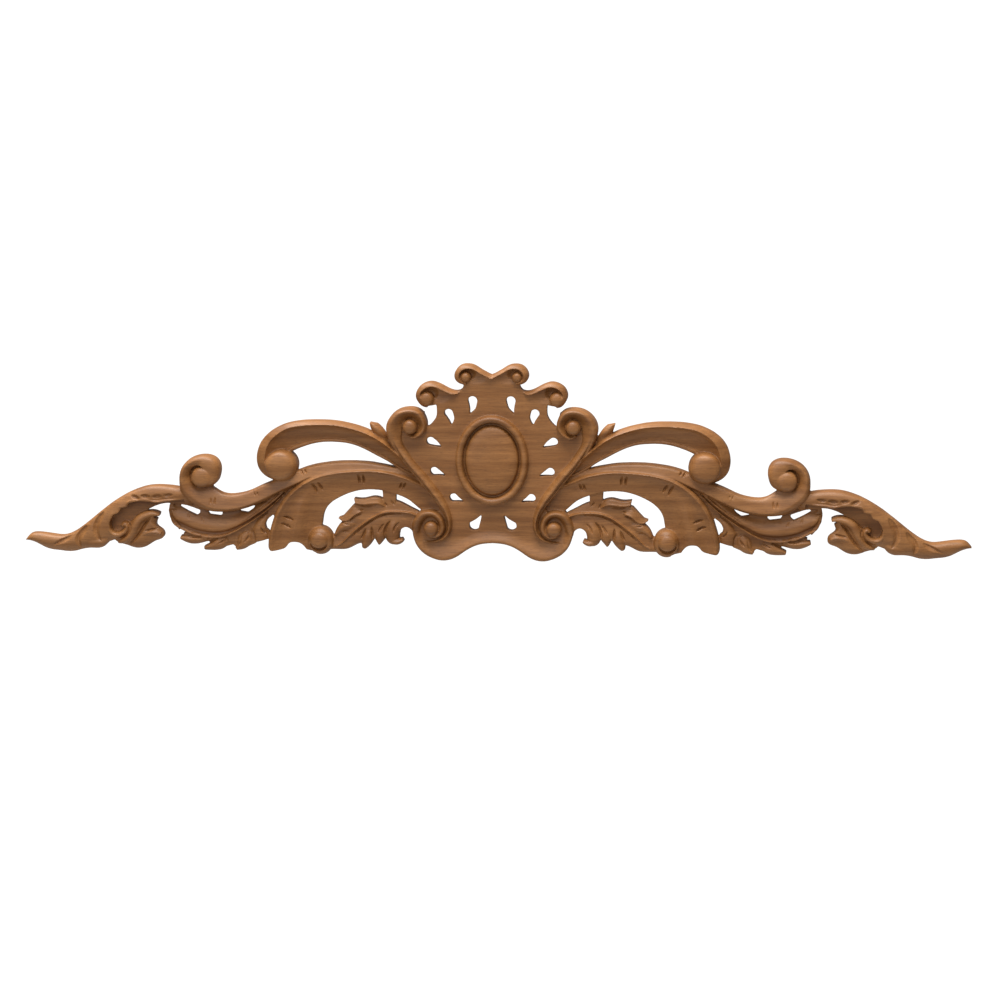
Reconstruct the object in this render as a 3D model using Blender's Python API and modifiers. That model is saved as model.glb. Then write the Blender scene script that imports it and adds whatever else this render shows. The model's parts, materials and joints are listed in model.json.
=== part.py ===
"""A carved wooden headpiece: one pierced panel of scrolls, straps, leaves and an oval cartouche.

It stands upright facing -Y with its flat back at y = 0, and it is the same on both sides of x = 0.
Every form is a strip of wood with its own cross-section, swept between two edges that were placed by
hand, and carried straight back to the flat back. The strips of one half are united, the pierced holes
and gouge cuts come out, and the half is mirrored. Tables are millimetres: out from the middle, up from
the mount, and height forward of the back.
"""

import math

import bmesh
import bpy
import numpy as np

MM = 0.001

GROUND = 8.5
BEHIND = 1.0
CUT_FRONT = 30.0

# Cross-sections: (share of the way from the first edge to the second, millimetres below the crest).
RAIL_SECTION = ((0, 5.2), (0.28, 0.2), (0.64, 0.8), (1, 5.2))
VOLUTE_SECTION = ((0, 5), (0.22, 0.3), (0.5, 0.8), (1, 5))
RIM_SECTION = ((0, 3.2), (0.78, 0), (1, 3.6))
ARM_SECTION = ((0, 5.5), (0.28, 0), (0.6, 4.6), (0.84, 6.4), (1, 5.6))
STRAP_SECTION = ((0, 4.4), (0.82, 0), (1, 3.4))
CRESCENT_SECTION = ((0, 3.4), (0.08, 0), (0.5, 3.9), (1, 4.4))
LEAF_SECTION = ((0, 2.2), (0.4, 1.0), (0.47, -0.7), (0.54, 1.5), (1, 2.4))
BLADE_SECTION = ((0, 3), (0.5, 2.8), (0.86, 2.6), (0.92, 0), (1, 1.2))
TAIL_SECTION = ((0, 4.5), (0.25, 0.6), (0.55, 0), (1, 4))
LOBE_SECTION = ((0, 2.6), (0.42, 0), (1, 2.6))

# Strips: first edge out, up; second edge out, up; crest height.
RAIL = (
    (71.5, 23.0, 69.0, 26.0, 14.5), (66.7, 20.5, 66.5, 25.2, 14.8), (61.0, 21.9, 63.8, 27.0, 15.2),
    (56.6, 25.6, 62.8, 29.4, 15.6), (54.4, 31.8, 62.4, 32.2, 16), (55.8, 38.0, 63.6, 35.0, 16.2),
    (60.0, 44.2, 66.0, 37.2, 16.4), (69.5, 46.5, 69.3, 38.0, 16.5), (79.3, 43.9, 72.7, 36.4, 16.5),
    (86.8, 36.5, 75.2, 31.6, 16.5), (89.0, 28.0, 76.2, 25.4, 16.5), (86.2, 18.0, 76.0, 18.0, 16.4),
    (79.5, 6.1, 71.4, 9.6, 16.2), (72.3, -3.4, 65.2, 0.8, 16.2), (63.4, -14.0, 56.6, -8.8, 16.2),
    (55.1, -24.6, 48.4, -19.5, 16.2), (46.8, -35.2, 40.1, -31.4, 16), (40.6, -44.8, 35.2, -43.2, 15.6),
    (38.6, -55.0, 34.3, -55.6, 15), (42.0, -62.2, 38.2, -63.6, 14), (50.4, -66.2, 48.2, -68.2, 12.6),
    (58.4, -66.8, 58.2, -67.8, 10.5),
)
LOW_VOLUTE = (
    (67.4, -63.0, 60.0, -66.5, 10.5), (68.4, -54.8, 60.6, -58.0, 12.6), (66.3, -48.4, 58.6, -51.0, 14.2),
    (62.3, -42.9, 56.0, -47.6, 14.8), (56.5, -40.7, 52.5, -46.2, 15), (49.6, -41.0, 49.2, -47.2, 15),
    (43.4, -45.0, 47.0, -50.0, 15), (40.3, -51.4, 46.1, -53.4, 14.8), (40.0, -57.2, 46.6, -57.0, 14.6),
    (43.4, -62.4, 48.6, -59.6, 14.4), (49.4, -64.6, 51.0, -60.6, 14.2), (55.5, -62.4, 53.4, -59.8, 14),
)
TOP_RIM = (
    (-3.0, 71.8, -3.0, 68.8, 12), (4.1, 75.9, 4.5, 72.8, 12.4), (9.3, 78.9, 9.8, 75.6, 12.6),
    (14.9, 82.2, 14.6, 78.4, 12.8), (19.8, 83.6, 19.0, 79.6, 13), (24.8, 82.4, 22.8, 78.4, 13),
    (29.2, 79.0, 25.4, 76.0, 13), (31.1, 74.2, 26.2, 73.0, 12.8), (29.6, 69.2, 25.0, 70.0, 12.4),
    (25.4, 66.5, 23.0, 68.6, 12), (21.0, 65.9, 21.0, 68.4, 11.6),
)
SIDE_RIM = (
    (26.5, 61.0, 26.0, 59.6, 8.8), (30.0, 60.5, 29.6, 57.4, 11.2), (34.2, 61.4, 34.6, 58.0, 12.4),
    (39.4, 64.0, 40.2, 60.2, 12.6), (45.0, 66.8, 45.2, 62.8, 12.8), (51.0, 68.1, 50.2, 63.8, 13),
    (57.6, 66.2, 54.8, 62.4, 13), (62.2, 61.9, 58.0, 59.8, 13), (63.7, 56.2, 59.0, 56.4, 12.8),
    (61.8, 51.2, 57.8, 53.0, 12.4), (58.6, 47.6, 57.0, 51.0, 11.4), (54.0, 46.2, 54.4, 49.4, 10.4),
)
ARM = (
    (70.0, 0.0, 64.0, -12.0, 14), (84.0, 13.0, 80.4, -4.0, 14.4), (91.8, 19.4, 87.4, 0.0, 14.8),
    (103.0, 26.2, 95.8, 4.5, 15), (115.0, 30.6, 106.4, 10.2, 15), (126.9, 33.3, 119.6, 15.2, 15),
    (138.9, 34.6, 136.0, 16.8, 15), (151.0, 34.7, 149.2, 15.6, 15), (163.4, 33.9, 159.8, 12.4, 15),
    (174.0, 31.6, 166.8, 9.6, 15), (183.0, 27.7, 171.4, 7.0, 15), (190.4, 22.5, 174.6, 4.6, 15),
    (195.4, 16.4, 176.4, 2.4, 15), (198.4, 9.0, 177.2, 0.4, 14.8), (199.4, 1.1, 177.4, -1.8, 14.2),
    (197.4, -7.1, 177.0, -4.4, 13.4), (191.4, -13.6, 176.4, -7.0, 12.6), (184.0, -17.0, 176.0, -9.0, 12),
)
STRAP = (
    (62.0, -14.0, 62.0, -22.0, 8.8), (78.0, -6.0, 77.0, -14.0, 10.2), (92.0, -2.6, 92.1, -11.0, 12.2),
    (105.0, -0.6, 107.0, -9.2, 12.6), (118.0, 0.0, 119.0, -8.8, 12.8), (131.0, -0.4, 130.0, -9.4, 12.8),
    (144.0, -2.0, 141.0, -10.8, 13), (157.0, -5.0, 153.0, -14.4, 13), (172.0, -11.2, 166.0, -20.6, 13),
    (186.7, -17.2, 179.1, -26.6, 13), (196.4, -21.4, 189.6, -32.2, 13), (205.9, -25.9, 201.0, -37.4, 13),
    (215.1, -28.4, 213.0, -41.6, 13), (222.8, -29.2, 224.6, -43.6, 13), (230.4, -27.6, 236.8, -43.8, 13),
    (237.0, -23.6, 248.4, -41.2, 13), (243.0, -21.0, 258.2, -35.0, 13), (250.6, -19.2, 264.6, -26.6, 13.2),
    (254.8, -15.4, 266.0, -16.6, 13.4), (255.4, -10.6, 263.8, -6.6, 13.6), (253.6, -6.6, 257.8, 0.3, 13.8),
    (250.2, -4.4, 249.6, 4.0, 14), (246.8, -4.4, 241.8, 4.6, 14), (244.4, -6.2, 234.4, 1.8, 14),
    (243.4, -9.2, 230.6, -4.8, 14), (243.8, -12.6, 231.0, -12.2, 13.8), (245.4, -15.4, 233.8, -18.6, 13.6),
    (247.6, -17.2, 240.6, -22.6, 13.2),
)
CRESCENT = (
    (56.0, -20.0, 46.0, -36.0, 10.4), (66.6, -14.6, 57.6, -38.8, 11.4), (77.1, -10.4, 68.6, -32.6, 13.2),
    (87.6, -7.6, 81.0, -27.5, 14.6), (98.2, -6.0, 93.0, -24.2, 15), (108.7, -5.8, 104.0, -23.4, 15.2),
    (119.3, -6.3, 113.4, -24.4, 15.4), (129.9, -7.2, 122.2, -27.0, 15.4), (140.5, -8.9, 129.4, -30.4, 15.4),
    (151.2, -12.0, 135.0, -33.8, 15.4), (161.0, -17.4, 139.0, -37.6, 15.4),
    (169.9, -24.3, 141.8, -41.6, 15.4),
    (177.4, -33.0, 143.6, -46.2, 15.4), (183.4, -43.2, 144.4, -51.2, 15.2), (187.6, -54.6, 145.4, -57.0, 15),
    (190.2, -66.0, 147.0, -66.0, 14.6), (190.6, -77.0, 150.0, -79.0, 14),
)
LEAF = (
    (63.0, -41.0, 64.6, -62.0, 8.4), (69.5, -37.4, 70.4, -60.0, 9.4), (79.5, -31.6, 80.4, -60.4, 10),
    (92.0, -32.5, 90.4, -64.0, 10.2), (103.0, -36.0, 100.6, -66.0, 10.4), (114.0, -40.4, 108.0, -69.0, 10.2),
    (124.0, -48.8, 115.0, -70.8, 10), (130.6, -54.8, 124.0, -75.0, 9.8), (134.2, -61.8, 132.0, -75.4, 9.5),
    (140.0, -67.0, 140.0, -75.6, 9),
)
BLADE = (
    (272.0, -37.0, 275.2, -41.0, 8.4), (268.0, -35.0, 274.2, -49.6, 8.8), (258.0, -34.0, 266.6, -58.6, 9.4),
    (247.0, -35.0, 255.2, -64.0, 9.8), (236.0, -37.0, 241.8, -66.4, 10.2), (222.0, -38.0, 227.8, -65.0, 10.4),
    (209.0, -36.0, 213.6, -57.9, 10.6), (198.0, -31.0, 201.4, -50.0, 10.8), (188.0, -25.5, 191.6, -42.6, 11),
    (179.0, -19.5, 181.6, -33.6, 11), (168.0, -12.0, 172.4, -23.0, 11),
)
TAIL = (
    (256.0, -25.8, 256.0, -39.2, 8), (268.6, -22.9, 267.0, -38.4, 12), (279.0, -21.9, 276.4, -37.4, 12.4),
    (290.0, -22.0, 285.0, -39.0, 12.8), (301.3, -24.8, 293.2, -42.6, 13.2),
    (311.4, -29.2, 300.4, -47.4, 13.6),
    (321.4, -35.1, 307.4, -54.0, 14), (332.4, -43.1, 316.0, -65.0, 13.8), (343.4, -52.0, 327.4, -70.4, 13.2),
    (353.4, -59.7, 338.4, -75.4, 12.6), (361.1, -64.2, 348.0, -76.6, 12), (368.8, -65.8, 358.6, -79.2, 11.4),
    (379.4, -64.5, 370.4, -78.6, 10.8), (389.4, -63.6, 382.4, -76.6, 10), (395.8, -64.9, 391.6, -72.2, 9),
    (400.0, -69.4, 400.0, -70.2, 6.5),
)
PETAL = (
    (323.0, -66.5, 321.0, -70.6, 9), (314.0, -68.0, 312.6, -73.2, 9.8), (309.0, -65.4, 304.4, -75.8, 10.6),
    (305.6, -60.0, 295.0, -74.0, 11), (302.0, -54.8, 286.8, -69.2, 10.8), (299.0, -51.4, 280.4, -65.4, 10.4),
    (297.6, -49.6, 282.0, -60.2, 10.2), (296.4, -48.6, 286.0, -57.2, 10), (293.0, -46.6, 285.6, -50.6, 9.6),
)

# Leaf lobes and small forms: out, up, half width, crest height along the middle line.
LOBES = (
    ((86.6, -42.0, 4.0, 8.0), (87.0, -33.0, 5.2, 10.8), (87.6, -25.0, 4.8, 9.4)),
    ((91.2, -36.0, 3.0, 9.0), (100.4, -33.0, 3.0, 11.8), (106.2, -34.0, 2.7, 11.8),
    (117.0, -33.6, 2.5, 10.8)),
    ((109.5, -39.8, 4.0, 8.2), (117.8, -43.7, 3.1, 11.4), (124.1, -48.7, 3.2, 10.6),
    (129.2, -49.7, 2.2, 9.8)),
    ((114.0, -54.0, 4.0, 8.0), (122.0, -54.2, 4.6, 10.4), (128.4, -57.4, 3.6, 10.2),
    (133.2, -63.0, 1.6, 9.6)),
    ((80.4, -47.0, 4.0, 8), (83.4, -55.6, 6.0, 10.8), (85.0, -62.0, 5.8, 11), (84.4, -66.6, 5.2, 10.6)),
    ((88.0, -66.4, 2.4, 8), (84.0, -68.0, 2.6, 11), (79.6, -68.2, 2.4, 10.8), (76.0, -66.6, 1.5, 10)),
    ((91.0, -50.0, 4.0, 8), (94.4, -59.6, 5.4, 10.8), (96.0, -66.2, 4.0, 10.6), (96.4, -71.0, 0.9, 9.4)),
    ((101.0, -53.0, 4.0, 8), (105.0, -62.6, 5.6, 10.8), (107.6, -69.4, 4.2, 10.4), (109.6, -74.2, 1.8, 9.4)),
    ((243.0, -66.6, 3.0, 8), (250.0, -68.0, 3.6, 9.2), (258.6, -68.0, 3.6, 9.2), (266.4, -66.6, 1.7, 8.4)),
    ((226.0, -67.6, 3.6, 8), (231.4, -70.6, 5.4, 9.4), (238.0, -73.4, 4.2, 9.4), (245.9, -75.6, 1.7, 8.6)),
    ((208.0, -61.6, 4.6, 8), (210.8, -67.2, 6.6, 9.4), (214.0, -72.4, 4.6, 9.4), (218.7, -76.0, 1.4, 8.6)),
    ((191.0, -46.6, 3.0, 8), (195.0, -52.4, 4.8, 9.4), (197.6, -59.6, 6.6, 9.6), (196.0, -68.4, 7.2, 9.2)),
    ((319.6, -70.6, 1.4, 10.4), (313.4, -68.6, 3.0, 12), (308.6, -63.6, 3.8, 13), (304.6, -56.4, 4.0, 13.4),
     (297.0, -48.4, 3.4, 13), (288.0, -45.9, 2.3, 11.8), (283.6, -46.8, 1.5, 10.8)),
    ((90.5, 13.0, 5.5, 8), (93.8, 21.2, 6.3, 9.4), (96.0, 26.2, 5.7, 11.4), (100.0, 32.7, 3.2, 10.4)),
    ((327.4, -46.0, 1.4, 12.4), (328.2, -56.0, 1.6, 12.4), (325.6, -62.4, 1.9, 12.2), (319.4, -65.4, 2.0, 12),
     (313.2, -64.0, 2.0, 12), (310.6, -59.6, 2.0, 12), (312.8, -56.4, 1.8, 12)),
)

# Turned forms: out, up, radius out, radius up, height, and the profile to use.
BALL_PROFILE = ((0, 0), (0.55, 0.9), (0.86, 3.8), (1, 10))
EYE_PROFILE = ((0, 0), (0.75, 1.2), (1, 5.0))
DISC_PROFILE = ((0, 3), (0.74, 3), (0.86, 0.4), (0.95, 0.8), (1, 3))
OVAL_PROFILE = ((0, 0), (0.45, 1.2), (0.68, 3.8), (0.775, 6.6), (0.83, 3.0), (0.93, 2.2), (1, 5.6))
TURNED = (
    (0.0, 2.3, 30.6, 38.0, 16.0, OVAL_PROFILE, 24),
    (179.0, -3.0, 15.3, 13.3, 20.0, BALL_PROFILE, 12),
    (145.6, -66.2, 11.8, 12.0, 14.2, DISC_PROFILE, 11),
    (148.6, -66.2, 6.7, 6.7, 17.5, EYE_PROFILE, 10),
    (68.6, 30.8, 6.2, 6.2, 18.6, EYE_PROFILE, 10),
    (51.8, -56.0, 6.2, 6.2, 18.0, EYE_PROFILE, 10),
    (248.4, -11.0, 7.2, 7.2, 15.4, EYE_PROFILE, 10),
    (21.6, 72.6, 4.5, 4.5, 13.0, EYE_PROFILE, 10),
    (54.8, 53.8, 6.4, 6.4, 13.4, EYE_PROFILE, 10),
)

# The ground of the cartouche, as smooth runs that meet at corners.
PLATE = (
    ((-4.0, 69.4), (9.0, 76.6), (20.0, 81.4), (27.6, 78.0), (28.0, 71.0), (23.4, 66.2)),
    ((23.4, 66.2), (22.2, 64.4), (23.6, 61.8), (28.4, 59.0)),
    ((28.4, 59.0), (41.0, 62.8), (51.0, 65.6), (59.6, 61.4), (61.2, 55.0), (58.0, 49.6), (53.6, 48.0),
     (46.6, 49.0)),
    ((46.6, 49.0), (46.2, 44.0), (46.8, 39.0), (50.4, 33.4), (53.4, 30.6), (58.0, 29.0)),
    ((57.0, 42.0), (69.0, 44.4), (80.0, 41.4), (84.6, 35.0), (85.6, 27.0), (83.5, 15.0)),
    ((83.5, 15.0), (78.0, -4.0), (66.0, -20.0), (54.0, -38.0)),
    ((54.0, -41.4), (64.0, -47.6), (66.0, -55.0), (67.4, -61.5)),
    ((67.4, -61.5), (63.4, -72.4), (55.6, -79.6), (46.0, -83.3), (37.6, -83.3), (29.6, -79.8), (20.0, -73.2),
     (10.0, -69.4), (-4.0, -68.4)),
)

# Low webs of wood between the forms: front height and outline.
WEBS = (
    (8.0, ((158.0, -8.0), (172.0, -22.0), (176.0, -30.0), (181.0, -38.0), (186.0, -46.6), (191.5, -46.0),
           (188.0, -34.0), (180.0, -20.0))),
    (7.0, ((236.0, -4.0), (257.0, -4.0), (258.0, -24.0), (238.0, -25.0))),
    (4.0, ((228.0, -58.0), (264.0, -56.0), (262.0, -68.0), (246.0, -70.0), (204.0, -70.0), (204.0, -52.0))),
    (10.0, ((60.6, -35.0), (61.6, -40.8), (58.0, -44.0), (48.0, -44.0), (48.0, -34.0))),
    (8.6, ((100.0, -33.0), (118.0, -37.0), (128.0, -48.0), (112.0, -48.0), (98.0, -42.0))),
    (9.0, ((326.0, -66.0), (319.0, -71.0), (312.0, -73.0), (306.0, -64.0), (312.0, -58.0), (324.0, -62.0))),
)
# Pierced teardrops: head out, up, head radius; middle of the tail and its half width; its tip.
HOLES = (
    (16.1, 51.1, 4.0, 16.6, 45.2, 2.1, 18.8, 39.8), (36.3, 41.7, 3.7, 34.4, 37.0, 2.8, 34.4, 31.8),
    (51.6, 17.8, 3.7, 47.4, 15.8, 2.5, 42.8, 13.2), (48.7, -7.8, 3.7, 44.6, -9.2, 2.1, 39.6, -11.2),
    (32.6, -30.2, 3.7, 28.6, -31.8, 1.8, 24.4, -33.4), (15.6, -53.9, 4.4, 12.6, -49.9, 2.7, 9.6, -45.0),
)
# Slits between the strap and the leaf, and beside the crescent: corner points.
SLITS = (
    ((266.7, -40.2), (260.0, -44.1), (252.1, -47.8), (249.6, -45.6), (249.6, -43.4), (254.7, -41.6),
     (265.0, -38.4)),
    ((242.8, -44.3), (241.1, -46.9), (231.9, -48.0), (230.3, -46.4), (230.3, -44.6), (241.3, -43.4)),
    ((215.5, -43.8), (208.5, -44.9), (204.2, -42.0), (201.5, -38.4), (207.5, -40.4), (214.0, -41.8)),
    ((189.0, -47.3), (192.2, -50.4), (193.5, -54.8), (192.7, -58.6), (190.7, -60.0), (189.1, -58.2),
     (188.0, -52.1), (187.0, -46.0)),
)
# Under the crescent's foot, and beside the hook of the leaf: corner points.
FOOT_CUT = (
    (200.0, -71.0), (190.8, -73.0), (189.2, -75.8), (185.6, -76.6), (181.0, -75.9), (175.6, -73.4),
    (172.2, -69.5), (168.4, -68.7), (164.2, -69.5), (158.4, -75.8), (153.6, -78.2), (148.6, -79.0),
    (148.6, -95.0), (200.0, -95.0),
)
HOOK_CUT = (
    (78.8, -62.5), (76.6, -56.8), (73.4, -55.6), (70.2, -56.8), (68.0, -62.0), (67.0, -75.0), (73.4, -75.0),
    (74.2, -66.5), (76.5, -65.0),
)
# The hollow under the lip of the tail, and its floor above the back.
HOLLOW = (
    (262.0, -32.6), (274.0, -33.0), (283.0, -35.2), (291.0, -34.0), (300.0, -33.2), (309.6, -35.2),
    (312.6, -38.2), (317.6, -39.4), (319.6, -43.6), (324.6, -45.4), (326.4, -50.6), (326.0, -57.0),
    (322.4, -61.6), (316.4, -63.2), (313.4, -60.0), (312.6, -56.0), (307.0, -51.0), (300.0, -46.6),
    (296.0, -46.0), (284.0, -43.0), (262.0, -43.0),
)
HOLLOW_FLOOR = 4.5
# Gouge cuts: start out, up; end out, up; half width; floor height above the back.
CUTS = (
    (151.9, -18.2, 148.4, -26.4, 0.8, 10), (147.2, -17.6, 143.8, -24.2, 0.8, 10),
    (113.2, -10.4, 112.2, -18.2, 0.8, 10), (109.2, -10.4, 108.6, -18.0, 0.8, 10),
    (76.4, -17.0, 77.4, -22.0, 0.8, 10), (72.8, -17.8, 74.2, -23.0, 0.8, 10),
    (177.2, -47.0, 168.6, -50.2, 0.8, 10), (179.4, -53.0, 171.0, -56.6, 0.8, 10),
    (238.7, -31.4, 238.8, -36.8, 0.6, 9), (235.2, -31.4, 235.8, -36.8, 0.6, 9),
    (334.8, -44.6, 339.4, -58.6, 0.8, 10.5), (348.4, -61.6, 355.4, -72.6, 0.8, 9),
    (366.2, -68.6, 375.6, -74.2, 0.7, 8),
    (309.6, -71.6, 294.0, -51.8, 0.9, 7.5),
)
BACK_BOX = (-20.0, 420.0, -110.0, 110.0)


def spline(knots, values, places):
    """Natural cubic spline through the values at the knots, read at the places."""
    count = len(knots)
    step = np.diff(knots)
    slope = np.diff(values, axis=0) / step[:, None]
    system = np.eye(count)
    known = np.zeros_like(values)
    for i in range(1, count - 1):
        system[i, i - 1 : i + 2] = step[i - 1], 2 * (step[i - 1] + step[i]), step[i]
        known[i] = 6 * (slope[i] - slope[i - 1])
    bend = np.linalg.solve(system, known)
    left = np.clip(np.searchsorted(knots, places) - 1, 0, count - 2)
    gap = step[left][:, None]
    a = (knots[left + 1][:, None] - places[:, None]) / gap
    b = 1 - a
    curve = (a**3 - a) * bend[left] + (b**3 - b) * bend[left + 1]
    return a * values[left] + b * values[left + 1] + curve * gap**2 / 6


def smooth(rows, middle, count):
    """Rows of numbers read at count + 1 places on the smooth line, closest where its points are closest."""
    values = np.array(rows, float)
    reach = np.hypot(*np.diff(middle, axis=0).T)
    knots = np.concatenate([[0], np.cumsum(reach)])
    places = np.interp(np.linspace(0, len(knots) - 1, count + 1), np.arange(len(knots)), knots)
    return spline(knots, values, places)


def new_object(name, work, collection):
    bmesh.ops.recalc_face_normals(work, faces=work.faces[:])
    mesh = bpy.data.meshes.new(name)
    work.to_mesh(mesh)
    work.free()
    thing = bpy.data.objects.new(name, mesh)
    collection.objects.link(thing)
    return thing


def carry_back(work, depth):
    """Extrudes every face straight to the plane at this depth behind the back."""
    made = bmesh.ops.extrude_face_region(work, geom=work.faces[:])["geom"]
    for item in made:
        if isinstance(item, bmesh.types.BMVert):
            item.co.y = depth * MM


def strip(name, stations, section, along, collection, depth):
    """A strip of wood between two edges, with the cross-section under its crest line."""
    table = np.array(stations, float)
    rows = smooth(table, (table[:, 0:2] + table[:, 2:4]) / 2, along)
    across = len(section) - 1
    work = bmesh.new()
    bmesh.ops.create_grid(work, x_segments=along, y_segments=across, size=1)
    for vertex in work.verts:
        row = rows[round((vertex.co.x + 1) / 2 * along)]
        share, drop = section[round((vertex.co.y + 1) / 2 * across)]
        out = row[0] + (row[2] - row[0]) * share
        up = row[1] + (row[3] - row[1]) * share
        vertex.co = (out * MM, -(row[4] - drop) * MM, up * MM)
    carry_back(work, depth)
    return new_object(name, work, collection)


def lobe(name, line, section, along, collection, depth):
    """A strip told by its middle line, its half width and its crest height."""
    table = np.array(line, float)
    rows = smooth(table, table[:, 0:2], along)
    way = np.gradient(rows[:, 0:2], axis=0)
    way /= np.hypot(*way.T)[:, None]
    side = np.stack([-way[:, 1], way[:, 0]], axis=1) * rows[:, 2:3]
    stations = np.hstack([rows[:, 0:2] + side, rows[:, 0:2] - side, rows[:, 3:4]])
    return strip(name, stations, section, along, collection, depth)


def turned(name, out, up, radius_out, radius_up, height, profile, steps, collection, depth):
    """A round or oval form spun about its own middle."""
    work = bmesh.new()
    rim = [work.verts.new((share, drop - height, 0)) for share, drop in profile]
    rim.append(work.verts.new((1, depth, 0)))
    rim.append(work.verts.new((0, depth, 0)))
    line = [work.edges.new(pair) for pair in zip(rim[:-1], rim[1:])]
    bmesh.ops.spin(
        work, geom=rim + line, cent=(0, 0, 0), axis=(0, 1, 0), angle=math.tau, steps=steps, use_merge=True
    )
    bmesh.ops.remove_doubles(work, verts=work.verts[:], dist=1e-5)
    for vertex in work.verts:
        x, y, z = vertex.co
        vertex.co = ((out + x * radius_out) * MM, y * MM, (up + z * radius_up) * MM)
    return new_object(name, work, collection)


def slab(name, outline, front, back, collection):
    """A flat piece with this outline, from its front height to its back."""
    work = bmesh.new()
    ring = [work.verts.new((out * MM, -front * MM, up * MM)) for out, up in outline]
    work.faces.new(ring)
    made = bmesh.ops.extrude_face_region(work, geom=work.faces[:])["geom"]
    for item in made:
        if isinstance(item, bmesh.types.BMVert):
            item.co.y = -back * MM
    return new_object(name, work, collection)


def plate_outline():
    """The ground's outline: every run smooth, and corners where two runs meet."""
    points = []
    for run in PLATE:
        line = np.array(run, float)
        count = max(3, round(len(run) * 1.15))
        points += [tuple(row) for row in smooth(line, line, count)]
    return [p for i, p in enumerate(points) if i == 0 or math.dist(p, points[i - 1]) > 0.5]


def teardrop_outline(out, up, radius, middle_out, middle_up, middle_half, tip_out, tip_up):
    """A round head whose sides draw in to a curved tail."""
    line = np.array([(out, up, radius), (middle_out, middle_up, middle_half), (tip_out, tip_up, 0.3)])
    rows = smooth(line, line[:, :2], 3)
    way = np.gradient(rows[:, :2], axis=0)
    way /= np.hypot(*way.T)[:, None]
    side = np.stack([-way[:, 1], way[:, 0]], axis=1) * rows[:, 2:3]
    start = math.atan2(-way[0, 1], -way[0, 0])
    head = [
        (out + radius * math.cos(start + turn), up + radius * math.sin(start + turn))
        for turn in np.radians((-50, 0, 50))
    ]
    left = [tuple(p) for p in rows[:, :2] + side]
    right = [tuple(p) for p in rows[:, :2] - side]
    return head + right + left[::-1]


def lens_outline(x1, z1, x2, z2, half):
    """The mark of one push of a gouge: widest in the middle and pointed at both ends."""
    side = np.array([z1 - z2, x2 - x1]) / math.hypot(x2 - x1, z2 - z1) * half
    start, end = np.array([x1, z1]), np.array([x2, z2])
    middle = (start + end) / 2
    return [tuple(p) for p in (start, middle + side, end, middle - side)]


def clear_scene():
    for thing in list(bpy.data.objects):
        bpy.data.objects.remove(thing)


def new_collection(name):
    made = bpy.data.collections.new(name)
    bpy.context.scene.collection.children.link(made)
    return made


def add_forms(forms):
    """Every strip, lobe and turned form of one half. Each ends at its own depth behind the back."""
    strips = (
        ("rail", RAIL, RAIL_SECTION, 24), ("low volute", LOW_VOLUTE, VOLUTE_SECTION, 12),
        ("top rim", TOP_RIM, RIM_SECTION, 11), ("side rim", SIDE_RIM, RIM_SECTION, 11),
        ("arm", ARM, ARM_SECTION, 14), ("strap", STRAP, STRAP_SECTION, 25),
        ("crescent", CRESCENT, CRESCENT_SECTION, 12), ("leaf", LEAF, LEAF_SECTION, 7),
        ("blade", BLADE, BLADE_SECTION, 9), ("tail", TAIL, TAIL_SECTION, 13), ("petal", PETAL, LOBE_SECTION, 6),
    )
    depth = BEHIND
    for name, stations, section, along in strips:
        strip(name, stations, section, along, forms, depth)
        depth += 0.05
    for number, line in enumerate(LOBES):
        lobe(f"lobe {number}", line, LOBE_SECTION, len(line), forms, depth)
        depth += 0.05
    for number, (out, up, radius_out, radius_up, height, profile, steps) in enumerate(TURNED):
        turned(f"turned {number}", out, up, radius_out, radius_up, height, profile, steps, forms, depth)
        depth += 0.05
    for number, (height, outline) in enumerate(WEBS):
        slab(f"web {number}", outline, height, -depth, forms)
        depth += 0.05


def add_cutters(cutters):
    """Everything that comes out of the wood: teardrops, slits, edge cuts, the hollow and gouge cuts."""
    for number, hole in enumerate(HOLES):
        slab(f"hole {number}", teardrop_outline(*hole), CUT_FRONT, -10, cutters)
    for number, corners in enumerate(SLITS):
        slab(f"slit {number}", corners, CUT_FRONT, -10, cutters)
    slab("foot cut", FOOT_CUT, CUT_FRONT, -10, cutters)
    slab("hook cut", HOOK_CUT, CUT_FRONT, -10, cutters)
    slab("hollow", HOLLOW, CUT_FRONT, HOLLOW_FLOOR, cutters)
    for number, (x1, z1, x2, z2, half, floor) in enumerate(CUTS):
        slab(f"cut {number}", lens_outline(x1, z1, x2, z2, half), CUT_FRONT, floor, cutters)
    left, right, low, high = BACK_BOX
    slab("behind", ((left, low), (right, low), (right, high), (left, high)), 0, -10, cutters)


def main():
    clear_scene()
    headpiece = new_collection("headpiece")
    forms = new_collection("forms")
    cutters = new_collection("cutters")
    body = slab("headpiece", plate_outline(), GROUND, -0.5, headpiece)
    add_forms(forms)
    add_cutters(cutters)
    for helper in list(forms.objects) + list(cutters.objects):
        helper.hide_render = True
        helper.display_type = "WIRE"
    for operation, others in (("UNION", forms), ("DIFFERENCE", cutters)):
        step = body.modifiers.new(operation.lower(), "BOOLEAN")
        step.operation = operation
        # EXACT leaves open edges where the many cuts meet, so the cutting is left to MANIFOLD.
        step.solver = "EXACT" if operation == "UNION" else "MANIFOLD"
        step.operand_type = "COLLECTION"
        step.collection = others
    mirror = body.modifiers.new("mirror", "MIRROR")
    mirror.use_bisect_axis = (True, False, False)
    mirror.use_clip = True
    mirror.merge_threshold = 0.00001
    wood = bpy.data.materials.new("bare wood")
    wood.use_nodes = True
    shader = wood.node_tree.nodes["Principled BSDF"]
    shader.inputs["Base Color"].default_value = (0.29, 0.15, 0.07, 1)
    shader.inputs["Roughness"].default_value = 0.75
    body.data.materials.append(wood)


main()
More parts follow.
